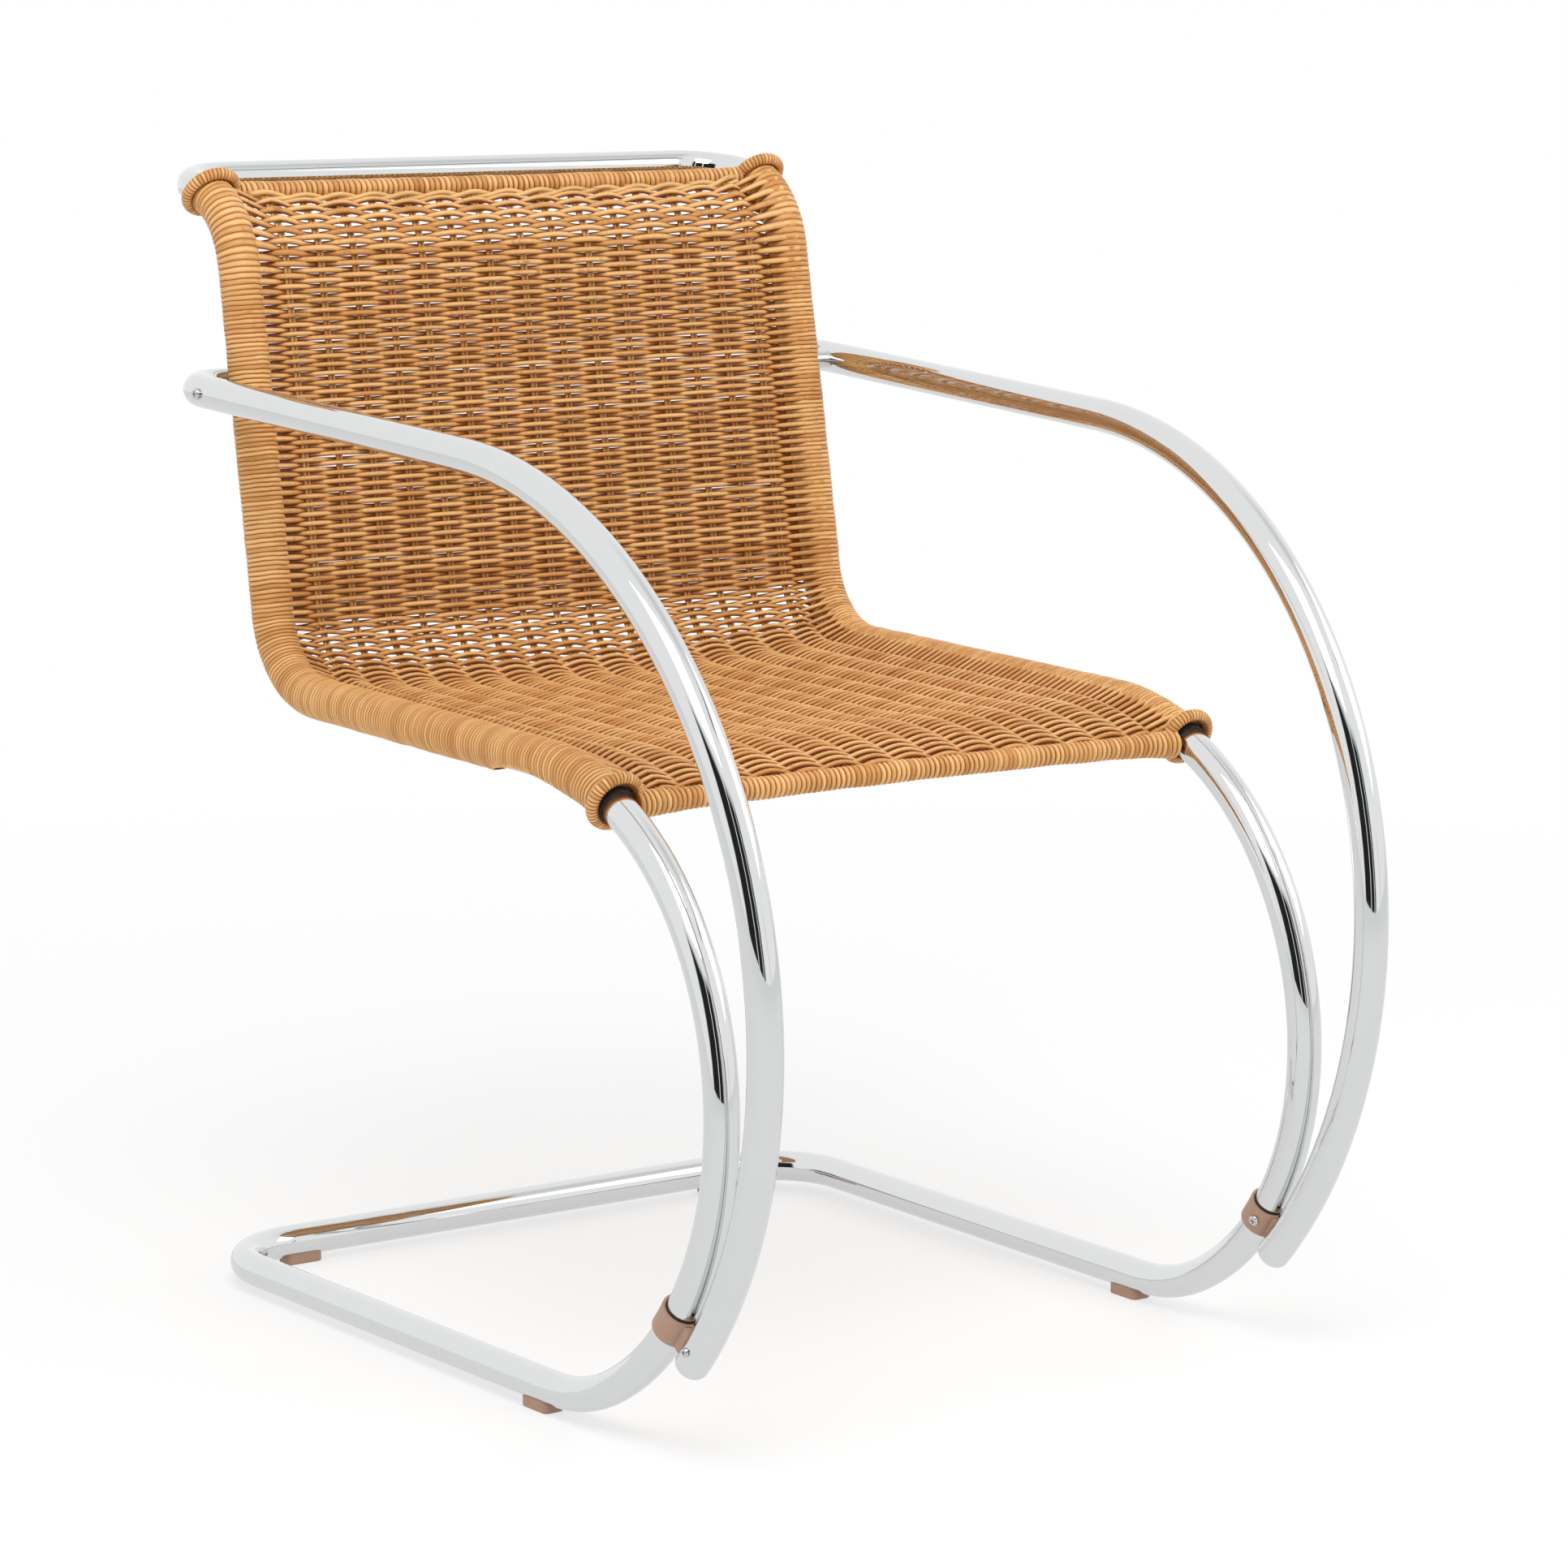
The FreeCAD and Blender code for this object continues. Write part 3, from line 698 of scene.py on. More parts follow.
@dataclass(frozen=True)
class SidePlane:
    """A slightly turned side plane, millimetres, u rearward and w upward."""

    origin: Point
    mark: Pair
    opening: float
    lean: float

    def place(self, u: float, w: float) -> Vector:
        """Find a point of the right side in space.

        Args:
            u: Rearward millimetres.
            w: Upward millimetres.

        Returns:
            The point, still in millimetres.
        """
        across = Vector((self.opening, 1, 0)).normalized()
        normal = across.cross(Vector((self.lean, 0, 1))).normalized()
        up = normal.cross(across).normalized()
        return Vector(self.origin) + across * (u - self.mark[0]) + up * (w - self.mark[1])


@dataclass(frozen=True)
class SideRoute:
    """Line of the side tube under the cane, from the front ring to the top ring.

    Sizes are millimetres in two planes: one of the leg, one of rail and upright.
    """

    leg: SidePlane = SidePlane((257.5, 0.0, 17.0), (0.0, 17.0), 0.018, -0.0296)
    leg_radius: float = 217.5
    leg_height: float = 227.5
    rail_rise: float = 1.45
    rail_bend: float = 12.0
    rail_opening: float = 0.002
    rail_lean: float = -0.0065
    seat_corner: float = 350.5
    seat_bend: float = 66.5
    recline: float = 9.8
    top_bend: float = 64.0
    top_exit: float = 8.0
    top_bar: Pair = (502.0, 816.5)
    ring_angle: float = 25.0
    top_ring_back: float = 13.1
    middle_y: float = 112.80604
    sleeve_radius: float = 15.8
    rows: int = 228
    front_ring: float = 3.6
    front_pitch: float = 3.3
    top_pitch: float = 2.9
    rise_above_axis: float = 3.5
    edge_from: float = 0.78
    edge_over: float = 0.26
    end_handle: float = 5.0

    @cached_property
    def rail(self) -> Pair:
        """Where the leg's arc ends and the rail starts."""
        a = radians(90 + self.rail_rise)
        return (self.leg_radius * cos(a), self.leg_height + self.leg_radius * sin(a))

    def along_rail(self, length: float) -> Pair:
        """Point of the rail's line at a length."""
        rise = radians(self.rail_rise)
        return (self.rail[0] + length * cos(rise), self.rail[1] + length * sin(rise))

    @cached_property
    def turn_at(self) -> Pair:
        """Where the rail turns from one plane into the other."""
        return self.along_rail(self.rail_bend)

    @cached_property
    def spans(self) -> list[tuple[str, Pair, Any, float]]:
        """Work out the tangent arcs and lines.

        Returns:
            For each the kind, the start or centre, the rest and the length.
        """
        rise, lean = radians(self.rail_rise), radians(self.recline)
        rail = self.rail
        corner = (self.seat_corner, rail[1] + (self.seat_corner - rail[0]) * tan(rise))
        turn = 90 - self.recline - self.rail_rise
        t = self.seat_bend * tan(radians(turn / 2))
        b0 = (corner[0] - t * cos(rise), corner[1] - t * sin(rise))
        centre = (b0[0] - self.seat_bend * sin(rise), b0[1] + self.seat_bend * cos(rise))
        b1 = (corner[0] + t * sin(lean), corner[1] + t * cos(lean))
        sr, cr, te = sin(lean), cos(lean), tan(radians(self.top_exit))
        k = (self.top_bar[1] - (self.top_bar[0] - corner[0]) * te - corner[1]) / (cr - sr * te)
        knee = (corner[0] + sr * k, corner[1] + cr * k)
        turn2 = 90 - self.recline - self.top_exit
        t2 = self.top_bend * tan(radians(turn2 / 2))
        k0 = (knee[0] - t2 * sr, knee[1] - t2 * cr)
        centre2 = (k0[0] + self.top_bend * cr, k0[1] - self.top_bend * sr)
        eased = self.along_rail(2 * self.rail_bend)

        def arc(c: Pair, r: float, a0: float, a1: float) -> tuple:
            """An arc about a centre, between two angles in degrees."""
            return ("arc", c, (r, a0, a1), radians(abs(a1 - a0)) * r)

        def line(a: Pair, b: Pair) -> tuple:
            """A straight line between two points."""
            return ("line", a, b, dist(a, b))

        return [
            arc((0.0, self.leg_height), self.leg_radius, 90 + self.ring_angle,
                90 + self.rail_rise),
            line(rail, eased),
            line(eased, b0),
            arc(centre, self.seat_bend, -90 + self.rail_rise, -90 + self.rail_rise + turn),
            line(b1, k0),
            arc(centre2, self.top_bend, 180 - self.recline, 180 - self.recline - turn2),
        ]

    def at(self, s: float) -> tuple[Pair, Pair]:
        """Find point and direction in the side plane at a length.

        Args:
            s: Millimetres from the front ring; it may lie a little outside.

        Returns:
            The point (u, w) and the unit direction.
        """
        rest = s
        for index, (kind, a, b, length) in enumerate(self.spans):
            if rest <= length or index == len(self.spans) - 1:
                break
            rest -= length
        if kind == "line":
            d = ((b[0] - a[0]) / length, (b[1] - a[1]) / length)
            return (a[0] + d[0] * rest, a[1] + d[1] * rest), d
        r, a0, a1 = b
        angle = radians(a0 + (a1 - a0) * rest / length)
        sign = 1 if a1 > a0 else -1
        return ((a[0] + r * cos(angle), a[1] + r * sin(angle)),
                (-sign * sin(angle), sign * cos(angle)))

    @cached_property
    def bend_middle(self) -> float:
        """Length at the middle of the seat bend."""
        return sum(span[3] for span in self.spans[:-3]) + self.spans[-3][3] / 2

    @cached_property
    def top(self) -> float:
        """Find the length at the top ring by halving the top bend.

        Returns:
            Millimetres from the front ring.
        """
        _, centre, (r, _, a1), length = self.spans[-1]
        high = sum(span[3] for span in self.spans)
        low = high - length
        goal = centre[0] + r * cos(radians(a1)) - self.top_ring_back
        for _ in range(50):
            middle = (low + high) / 2
            if self.at(middle)[0][0] < goal:
                low = middle
            else:
                high = middle
        return (low + high) / 2

    def place(self, u: float, w: float, side: float = 1.0) -> Vector:
        """Find a side plane point in space.

        Args:
            u: Rearward millimetres.
            w: Upward millimetres.
            side: 1 for the right, -1 for the left.

        Returns:
            The point in metres.
        """
        plane = self.leg
        if u > self.turn_at[0] and w > self.leg_height:
            plane = SidePlane(tuple(self.leg.place(*self.turn_at)), self.turn_at,
                              self.rail_opening, self.rail_lean)
        p = plane.place(u, w)
        return Vector((p.x * side, p.y - self.middle_y, p.z)) * MM

    def axis(self, s: float, side: float = 1.0) -> Vector:
        """Tube axis at a length, in metres."""
        return self.place(*self.at(s)[0], side)

    def ahead(self, s: float, side: float) -> Vector:
        """A step of 10 mm along the tube at a length, in metres."""
        (u, w), (du, dw) = self.at(s)
        return self.place(u + du * 10, w + dw * 10, side) - self.place(u, w, side)

    def normal(self, s: float) -> Vector:
        """Direction from the tube to the sitter at a length."""
        _, (du, dw) = self.at(s)
        return Vector((0.0, -dw, du))

    def sag(self, s: float) -> float:
        """Say how far the sheet hangs behind its edges in the middle.

        Args:
            s: Length in millimetres.

        Returns:
            Millimetres, less than 0 where it bows up.
        """
        stops = ((0.0, -3.0), (150.0, 7.0), (self.bend_middle - 60, 11.0),
                 (self.bend_middle + 110, 8.0), (self.top, 3.0))
        if s <= stops[0][0]:
            return stops[0][1]
        for (a, va), (b, vb) in zip(stops[:-1], stops[1:]):
            if s <= b:
                t = (1 - cos(pi * (s - a) / (b - a))) / 2
                return va + (vb - va) * t
        return stops[-1][1]

    def row_at(self, row: float, on_tube: bool) -> float:
        """Say where a row lies, from close rows on the seat to open ones on the back.

        Args:
            row: Row number, from the front.
            on_tube: Whether it is asked for on the tube or within the sheet.

        Returns:
            The length in millimetres.
        """
        marks = [0.0, 126.5, 163.0, 199.5, 210.0, float(self.rows), self.rows + 3.0]
        stops = [3.0, self.bend_middle, 560.0, 680.0, 716.0, self.top - 16.5, self.top - 9.0]
        if on_tube:
            stops[0], stops[5:] = 5.0, [self.top - 9.5, self.top + 1.0]
        if row < 0:
            return stops[0] + row * self.front_pitch
        if row > marks[-1]:
            return stops[-1] + (row - marks[-1]) * self.top_pitch
        return float(np.interp(row, marks, stops))

    def sheet(self, row: float, t: float, lift: float) -> Vector:
        """Find a point of the woven sheet.

        Args:
            row: Row number, from the front.
            t: Across, -1 at the left sleeve to 1 at the right one.
            lift: Millimetres towards the sitter.

        Returns:
            The point in metres.
        """
        f = max(0.0, min(1.0, (abs(t) - self.edge_from) / self.edge_over))
        ease = f * f * (3 - 2 * f)
        s = self.row_at(row, True) * ease + self.row_at(row, False) * (1 - ease)
        axis = self.axis(s) / MM
        depth = self.rise_above_axis - self.sag(s) * max(1 - t * t, 0.0) + lift
        half = axis.x - self.sleeve_radius
        return (Vector((half * t, axis.y, axis.z)) + self.normal(s) * depth) * MM

    def guide(self, side: Side, start: float, end: float) -> Piece:
        """Draw a guide curve along the tube axis.

        Args:
            side: Which side of the chair.
            start: First length in millimetres.
            end: Last length in millimetres.

        Returns:
            A curve object at the origin.
        """
        joints = accumulate(span[3] for span in self.spans)
        cuts = [start, *(s for s in joints if start < s < end), end]
        knots = []
        for index, s in enumerate(cuts):
            here = self.axis(s, side.value)
            ahead = self.ahead(s, side.value).normalized()
            before = self._reach(cuts[index - 1], s) if index else self.end_handle
            last = index == len(cuts) - 1
            after = self.end_handle if last else self._reach(s, cuts[index + 1])
            knots.append((here - ahead * before * MM, here, here + ahead * after * MM))
        return bezier(knots)

    def _reach(self, a: float, b: float) -> float:
        """Work out the handle length for the span between two lengths.

        Args:
            a: Where the span starts.
            b: Where it ends.

        Returns:
            The handle's length in millimetres.
        """
        d0, d1 = self.at(a + 0.01)[1], self.at(b - 0.01)[1]
        turn = acos(max(-1.0, min(1.0, d0[0] * d1[0] + d0[1] * d1[1])))
        if turn < 1e-3:
            return (b - a) / 3
        return 4 / 3 * tan(turn / 4) * (b - a) / turn


ROUTE = SideRoute()
CANE = HoneyCane()


# Wound cane


@dataclass
class Winding:
    """A closed row of cane turns round a core, made straight along +X."""

    name: str
    length: float
    turns: int
    outer: float
    bore: float
    sides: int
    groove: float
    seed: int = 1
    # crease sets the painted shade in the grooves; end_shade is the painted shade at the closed
    # ends.
    crease: float = 0.92
    end_shade: float = 1.6
    fade: float = 0.7
    tone_shift: float = 7.0
    profile: tuple[Pair, ...] = (
        (0.1, 0.5), (0.27, 0.86), (0.5, 1.0), (0.73, 0.86), (0.9, 0.5), (1.0, 0.0))

    def build(self) -> Piece:
        """Model one turn, repeat it and close both ends.

        Returns:
            The straight winding from x = 0 to its length, in metres.
        """
        step = self.length / self.turns * MM
        low = (self.outer - self.groove) * MM
        turn = circle(low, self.sides, ORIGIN, self.name)
        steps, before, size = [], 0.0, low
        for part, rise in self.profile:
            now = low + (self.outer * MM - low) * rise
            steps.append(((step * (part - before), 0, 0), now / size, (step * part, 0, 0)))
            before, size = part, now
        draw_out(turn, steps)
        core = circle(self.bore * MM, self.sides, ORIGIN, "core")
        draw_out(core, [((step, 0, 0), 1.0, ORIGIN)])
        for shell in (turn, core):
            array(shell, self.turns, (step, 0, 0), TOUCH)
        body = join([turn, core], self.name)
        for end in (0.0, self.length * MM):
            self._close(body, end)
        mend(body)
        self._mark(body, step)
        return body

    def _close(self, body: Piece, end: float) -> None:
        """Bridge the outer and inner rim at one end.

        Args:
            body: The winding.
            end: Where the rims lie along X.
        """
        with editing(body):
            bpy.ops.mesh.select_all(action="DESELECT")
            shape = bmesh.from_edit_mesh(body.data)
            for edge in shape.edges:
                flat = all(abs(v.co.x - end) < 1e-5 for v in edge.verts)
                edge.select_set(flat and len(edge.link_faces) == 1)
            shape.select_flush_mode()
            bmesh.update_edit_mesh(body.data)
            bpy.ops.mesh.bridge_edge_loops()

    def _mark(self, body: Piece, step: float) -> None:
        """Store across, along and tone of each turn, and painted shade by the depth of each groove.

        Args:
            body: The winding.
            step: Pitch of the turns in metres.
        """
        rng = np.random.default_rng(self.seed)
        tones = rng.random(int(self.length * MM / step) + 4)

        def rule(p: np.ndarray) -> np.ndarray:
            """Across along the winding, along round it, and each turn's own tone."""
            turn = np.clip((p[:, 0] / step).astype(int), 0, len(tones) - 1)
            along = np.arctan2(p[:, 1], -p[:, 2]) * self.outer * MM
            return np.stack([p[:, 0], along + tones[turn] * self.tone_shift, tones[turn]], axis=1)

        def depth(p: np.ndarray) -> np.ndarray:
            """Painted shade: darkest at the ends, and darker the deeper in a groove."""
            low = (self.outer - np.hypot(p[:, 1], p[:, 2]) / MM) / self.groove
            at_end = (p[:, 0] < 1e-4) | (p[:, 0] > self.length * MM - 1e-4)
            shade = np.clip(low, 0, 1) ** self.fade * self.crease
            return np.where(at_end, self.end_shade, shade)

        write_lay(body, rule, depth)


@dataclass
class SideSleeve:
    """Cane wound round rail and upright on one side."""

    side: Side
    outer: float = 15.6
    bore: float = 12.25
    slot_at: float = 11.0
    slot_length: float = 94.0
    slot_open: float = 7.0

    def build(self) -> Piece:
        """Wind the sleeve, bend it onto the tube and open the slot below.

        Returns:
            The finished sleeve.
        """
        turns = ROUTE.rows + 3
        start, end = ROUTE.row_at(0, True), ROUTE.row_at(turns, True)
        length = end - start
        sleeve = Winding("cane_sleeve_" + self.side.word, length, turns, self.outer, self.bore,
                         sides=22, groove=0.85, seed=11 + self.side.value, crease=0.88).build()

        def beside_its_row(at: Vector, _: Matrix) -> Vector:
            """Each turn moved to the row that leaves it."""
            place = ROUTE.row_at((at.x + 0.5) * turns, True)
            return Vector(((place - start) / length - 0.5, at.y, at.z))

        reshape(sleeve, length / 2 * MM, (length * MM, 0.05, 0.05), (60, 2, 2),
                (CURVED, STRAIGHT, STRAIGHT), beside_its_row)
        ruffle(sleeve, size=0.012, amount=0.0012, axis="X")
        ruffle(sleeve, size=0.02, amount=0.0010, axis="NORMAL")
        bend_along(sleeve, ROUTE.guide(self.side, start, end))
        self._open_slot(sleeve)
        mend(sleeve)
        hand_over(sleeve, CANE, "side_wrap_" + self.side.word, "wrapped_cane")
        return sleeve

    def _open_slot(self, sleeve: Piece) -> None:
        """Cut the lens-shaped opening under the rail.

        Args:
            sleeve: The bent sleeve.
        """
        rail = ROUTE.leg_height + ROUTE.leg_radius
        depth = self.outer - self.slot_open
        radius = ((self.slot_length / 2) ** 2 + depth ** 2) / (2 * depth)
        centre = ROUTE.place(self.slot_at, rail - self.slot_open - radius, self.side.value)
        clear()
        bpy.ops.mesh.primitive_cylinder_add(vertices=160, radius=radius * MM, depth=0.08,
                                            location=centre, rotation=(0, pi / 2, 0))
        cutter = bpy.context.object
        bpy.ops.object.transform_apply()
        modify(sleeve, "BOOLEAN", operation="DIFFERENCE", object=cutter, solver="FAST")
        bpy.data.objects.remove(cutter)


@dataclass(frozen=True)
class RingFit:
    """What differs between the front and the top rings, and the cord that fills them."""

    at: float
    major: float
    tilt: float
    cord_span: Pair
    cord_radius: float
    cord_finish: Finish
    cord_slot: str


@dataclass
class EndRing:
    """Wound ring where the tube leaves the cane."""

    side: Side
    place: End
    minor: float = 4.65
    core: float = 2.65
    turns: int = 44
    up: float = 2.4
    cord_pitch: float = 0.8
    cord_bore: float = 12.08
    fits: dict[End, RingFit] = field(default_factory=lambda: {
        # The near-black cord in the front rings is painted shadow in the hole between ring and
        # tube.
        End.FRONT: RingFit(ROUTE.front_ring, 17.3, 0.0, (-4.8, 1.4), 13.3,
                           BlackMatt((0.006, 0.006, 0.005), "Cord"), "black_rubber"),
        End.TOP: RingFit(ROUTE.top, 18.3, 22.0, (-1.0, 2.0), 15.2, CANE, "wrapped_cane"),
    })

    def build(self) -> Piece:
        """Wind the ring, close it round the tube and fill it.

        Returns:
            The finished ring.
        """
        fit = self.fits[self.place]
        ring = Winding(f"{self.place.value}_ring_{self.side.word}", 2 * pi * fit.major,
                       self.turns, self.minor, self.core, sides=14, groove=0.8,
                       seed=31 + self.side.value).build()
        ruffle(ring, size=0.008, amount=0.0007, axis="X")
        ahead = ROUTE.ahead(fit.at, self.side.value)
        ahead = (Matrix.Rotation(radians(fit.tilt), 3, "X") @ ahead).normalized()
        first = ahead.cross(Vector((0, 0, 1))).normalized()
        second = ahead.cross(first).normalized()
        here = ROUTE.axis(fit.at, self.side.value) + ROUTE.normal(fit.at) * self.up * MM
        handle = fit.major * MM * 4 / 3 * tan(pi / 8)
        knots = []
        for quarter in range(4):
            a = quarter * pi / 2
            at = here + (first * cos(a) + second * sin(a)) * (fit.major * MM)
            along = second * cos(a) - first * sin(a)
            knots.append((at - along * handle, at, at + along * handle))
        bend_along(ring, bezier(knots, closed=True, twist="MINIMUM"))
        self._paint_inside_shade(ring, here, ahead, fit.major)
        hand_over(ring, CANE, self.place.value + "_rings", "wrapped_cane")
        self._packing(fit)
        return ring

    def _paint_inside_shade(self, ring: Piece, here: Vector, ahead: Vector,
                       major: float) -> None:
        """Paint shade on the inner side of the ring, where it lies in a crease.

        Args:
            ring: The bent ring.
            here: Its centre.
            ahead: Direction of its axis.
            major: Its middle radius in millimetres.
        """
        offset = read_points(ring) - np.array(here)
        along = offset @ np.array(ahead)
        radial = np.sqrt(np.maximum((offset ** 2).sum(axis=1) - along ** 2, 0.0))
        inside = np.interp((major - radial / MM) / self.minor, (-0.1, 0.6), (0.0, 1.3))
        store = ring.data.attributes["painted_shade"]
        painted_shade = np.empty(len(inside), np.float32)
        store.data.foreach_get("value", painted_shade)
        store.data.foreach_set("value", np.maximum(painted_shade, inside).astype(np.float32))

    def _packing(self, fit: RingFit) -> None:
        """Wind the cord that fills the ring round the tube.

        Args:
            fit: Sizes and finish at this end.
        """
        start, end = (fit.at + step for step in fit.cord_span)
        turns = round((end - start) / self.cord_pitch)
        cord = Winding(f"{self.place.value}_packing_{self.side.word}", end - start, turns,
                       fit.cord_radius, self.cord_bore, sides=40, groove=0.5).build()
        bend_along(cord, ROUTE.guide(self.side, start, end))
        mend(cord)
        hand_over(cord, fit.cord_finish, self.place.value + "_rings", fit.cord_slot, 60)


@dataclass
class EdgeRoll:
    """Wound roll along the front or the top edge of the weave."""

    place: End
    pitch: float
    sag: float
    lift: float
    flare: float = 0.12
    end_gap: float = 17.0
    radius: float = 7.9
    bore: float = 4.4
    flare_reach: float = 60.0

    def build(self) -> Piece:
        """Wind the roll, thicken its ends and lay it along the edge.

        Returns:
            The finished roll.
        """
        s = 0.0 if self.place is End.FRONT else ROUTE.top
        axis = ROUTE.axis(s) / MM
        half = axis.x - self.end_gap
        length = 2 * half
        points = []
        for t in (-1.0, 0.0, 1.0):
            rise = self.lift - self.sag * (1 - t * t)
            points.append((Vector((half * t, axis.y, axis.z)) + ROUTE.normal(s) * rise) * MM)
        slope = (points[1] - points[0]) * (2 / 3)
        handles = [Vector((half * MM / 3, slope.y * way, slope.z * way)) for way in (1, 0, -1)]
        roll = Winding(self.place.value + "_roll", length, round(length / self.pitch),
                       self.radius, self.bore, sides=18, groove=1.5, seed=51).build()

        def flared(at: Vector, _: Matrix) -> Vector:
            """Both ends made thicker, where the roll meets the rings."""
            near = max(0.0, 1.0 - (0.5 - abs(at.x)) * length / self.flare_reach)
            wide = 1.0 + self.flare * near * near
            return Vector((at.x, at.y * wide, at.z * wide))

        reshape(roll, length / 2 * MM, (length * MM, 0.05, 0.05), (40, 2, 2),
                (SOFT, STRAIGHT, STRAIGHT), flared)
        ruffle(roll, size=0.014, amount=0.0016, axis="X")
        ruffle(roll, size=0.022, amount=0.0013, axis="NORMAL")
        bend_along(roll, bezier([(p - h, p, p + h) for p, h in zip(points, handles)]))
        hand_over(roll, CANE, self.place.value + "_border", "wrapped_cane")
        return roll


# The weave


@dataclass
class WovenSheet:
    """Seat and back woven over paired stakes, first flat with even rows."""

    pairs: int = 15
    pair_pitch: float = 29.3
    row_pitch: float = 3.36
    half: float = 227.1
    sides: int = 8
    stake_radius: float = 1.35
    stake_gap: float = 3.0
    stake_pieces: int = 120
    stake_stretch: float = 3.3
    stake_shade: float = 0.38
    weft_radius: float = 1.97
    swing: float = 3.5
    steps: int = 6
    over_run: float = 4.0
    tail_radius: float = 13.3
    tail_parts: tuple[float, ...] = (0.18, 0.42, 0.7, 1.0)
    tail_ease: float = 7.0
    tail_turns: Pair = (8.0, 16.0)
    row_shift: float = 0.26
    row_tilt: float = 0.25
    row_fat: float = 0.05
    tone_shift: float = 9.0
    edge_fade: float = 6.0
    root_from: float = 215.0
    root_over: float = 10.0
    root_swell: float = 0.12
    tuck: float = 7.0
    tuck_reach: float = 54.0
    tuck_from: float = 237.0
    tuck_below: float = 8.0
    twist_row: float = 1.2
    twist_radius: float = 2.0
    twist_swing: Pair = (2.1, 2.5)
    twist_tone: float = 0.35
    thick_rows: tuple[float, ...] = (0, 100, 127, 152, 172, 198, 212, 228)
    thickness: tuple[float, ...] = (1.03, 1.02, 0.93, 1.02, 0.97, 0.95, 0.98, 1.0)
    pieces: tuple[tuple[Part, int, int], ...] = (
        (Part.SEAT, 0, 108), (Part.LOIN, 108, 64), (Part.BACK, 172, 56))

    def build(self) -> list[Piece]:
        """Weave the sheet flat, hang it on the frame and dress it.

        Returns:
            The stakes, the wefts and the twisted row.
        """
        sheet = [self._stakes(), *(self._wefts(*piece) for piece in self.pieces)]
        twist = self._pairing()
        for piece in (*sheet, twist):
            self._hang(piece)
            self._tuck_ends(piece)
            node = "top_pairing" if piece is twist else "woven_panel"
            hand_over(piece, CANE, node, "woven_cane", 80)
        return [*sheet, twist]

    def _path(self, over: bool) -> list[Pair]:
        """Work out the line of one weft from sleeve to sleeve.

        Args:
            over: Whether it passes over the outer pairs.

        Returns:
            Across and lift of its points from left to right, in millimetres.
        """
        sign = 1.0 if over else -1.0
        last = (self.pairs - 1) / 2
        inner = []
        for i in range((self.pairs - 1) * self.steps + 1):
            k = -last + i / self.steps
            wave = cos(pi * (k + last))
            inner.append((k * self.pair_pitch, sign * self.swing * wave))
        edge, rise = last * self.pair_pitch, sign * self.swing
        centre, radius = (self.half + ROUTE.sleeve_radius, -ROUTE.rise_above_axis), self.tail_radius
        gap = dist((edge, rise), centre)
        lean = asin(radius / gap)
        toward = atan2(centre[1] - rise, centre[0] - edge) - sign * lean
        reach = sqrt(gap * gap - radius * radius)
        tail = []
        for f in self.tail_parts:
            soft = 1 - exp(-f * self.tail_ease)
            tail.append((edge + cos(toward) * reach * f,
                         rise + sin(toward) * reach * f * soft))
        start = toward - sign * pi / 2
        for turn in self.tail_turns:
            a = start + sign * radians(turn)
            tail.append((centre[0] + cos(a) * radius, centre[1] + sin(a) * radius))
        return [(-x, z) for x, z in reversed(tail)] + inner + tail

    def _strand(self, path: Sequence[Point], radius: float) -> Piece:
        """Draw one round cane along points that run across the sheet.

        Args:
            path: Points in millimetres.
            radius: Radius in millimetres.

        Returns:
            The strand.
        """
        first = tuple(c * MM for c in path[0])
        strand = circle(radius * MM, self.sides, first, "strand", turn=(pi / 2, 0, 0))
        draw_out(strand, [(tuple((b - a) * MM for a, b in zip(p, q)), 1.0, ORIGIN)
                          for p, q in zip(path[:-1], path[1:])])
        return strand

    def _wefts(self, part: Part, first: int, count: int) -> Piece:
        """Weave the rows of one part flat.

        Args:
            part: Stretch of the sheet.
            first: Number of the first row.
            count: How many rows.

        Returns:
            The flat wefts.
        """
        made = []
        for parity in (0, 1):
            at = (first + parity + 0.5) * self.row_pitch
            path = [(at, y, z) for y, z in self._path(over=parity == 0)]
            weft = self._strand(path, self.weft_radius)
            array(weft, (count - parity + 1) // 2, (2 * self.row_pitch * MM, 0, 0))
            made.append(weft)
        wefts = join(made, "cane_wefts_" + part.value)
        mend(wefts)
        self._finish_rows(wefts, first, count)
        return wefts

    def _finish_rows(self, wefts: Piece, first: int, count: int) -> None:
        """Note tone and lay of each row, then let rows lie a little uneven.

        Args:
            wefts: The flat wefts, even rows first and then odd ones.
            first: Number of the first row.
            count: How many rows.
        """
        rng = np.random.default_rng(5 + first)
        tones = rng.random(count + 2)
        shifts = rng.normal(0.0, self.row_shift, count + 2)
        tilts = rng.normal(0.0, self.row_tilt, count + 2)
        fat = 1.0 + rng.uniform(-self.row_fat, self.row_fat, count + 2)
        points = read_points(wefts)
        row = np.repeat([*range(0, count, 2), *range(1, count, 2)], len(points) // count)

        def rule(p: np.ndarray) -> np.ndarray:
            """Across by height, along by the row's line, and each row's own tone."""
            along = p[:, 1] + tones[row] * self.tone_shift
            return np.stack([p[:, 2], along, tones[row]], axis=1)

        write_lay(wefts, rule, self._shade_in_creases)
        side = points[:, 1] / MM / self.half
        rings = points.reshape(-1, self.sides, 3)
        middle = rings.mean(axis=1, keepdims=True)
        near = (np.abs(middle[..., 1]) / MM - self.root_from) / self.root_over
        root = 1.0 + self.root_swell * np.clip(near, 0, 1)
        size = np.interp(first + row, self.thick_rows, self.thickness) * fat[row]
        size = size.reshape(-1, self.sides)
        size = np.stack([size * root, size * 0, size], axis=-1)
        points = (middle + (rings - middle) * size).reshape(-1, 3)
        points[:, 1] = np.repeat(middle[:, 0, 1], self.sides)
        inside = np.clip((1.0 - np.abs(side)) * self.edge_fade, 0, 1)
        points[:, 0] += (shifts[row] + tilts[row] * side) * inside * MM
        write_points(wefts, points)

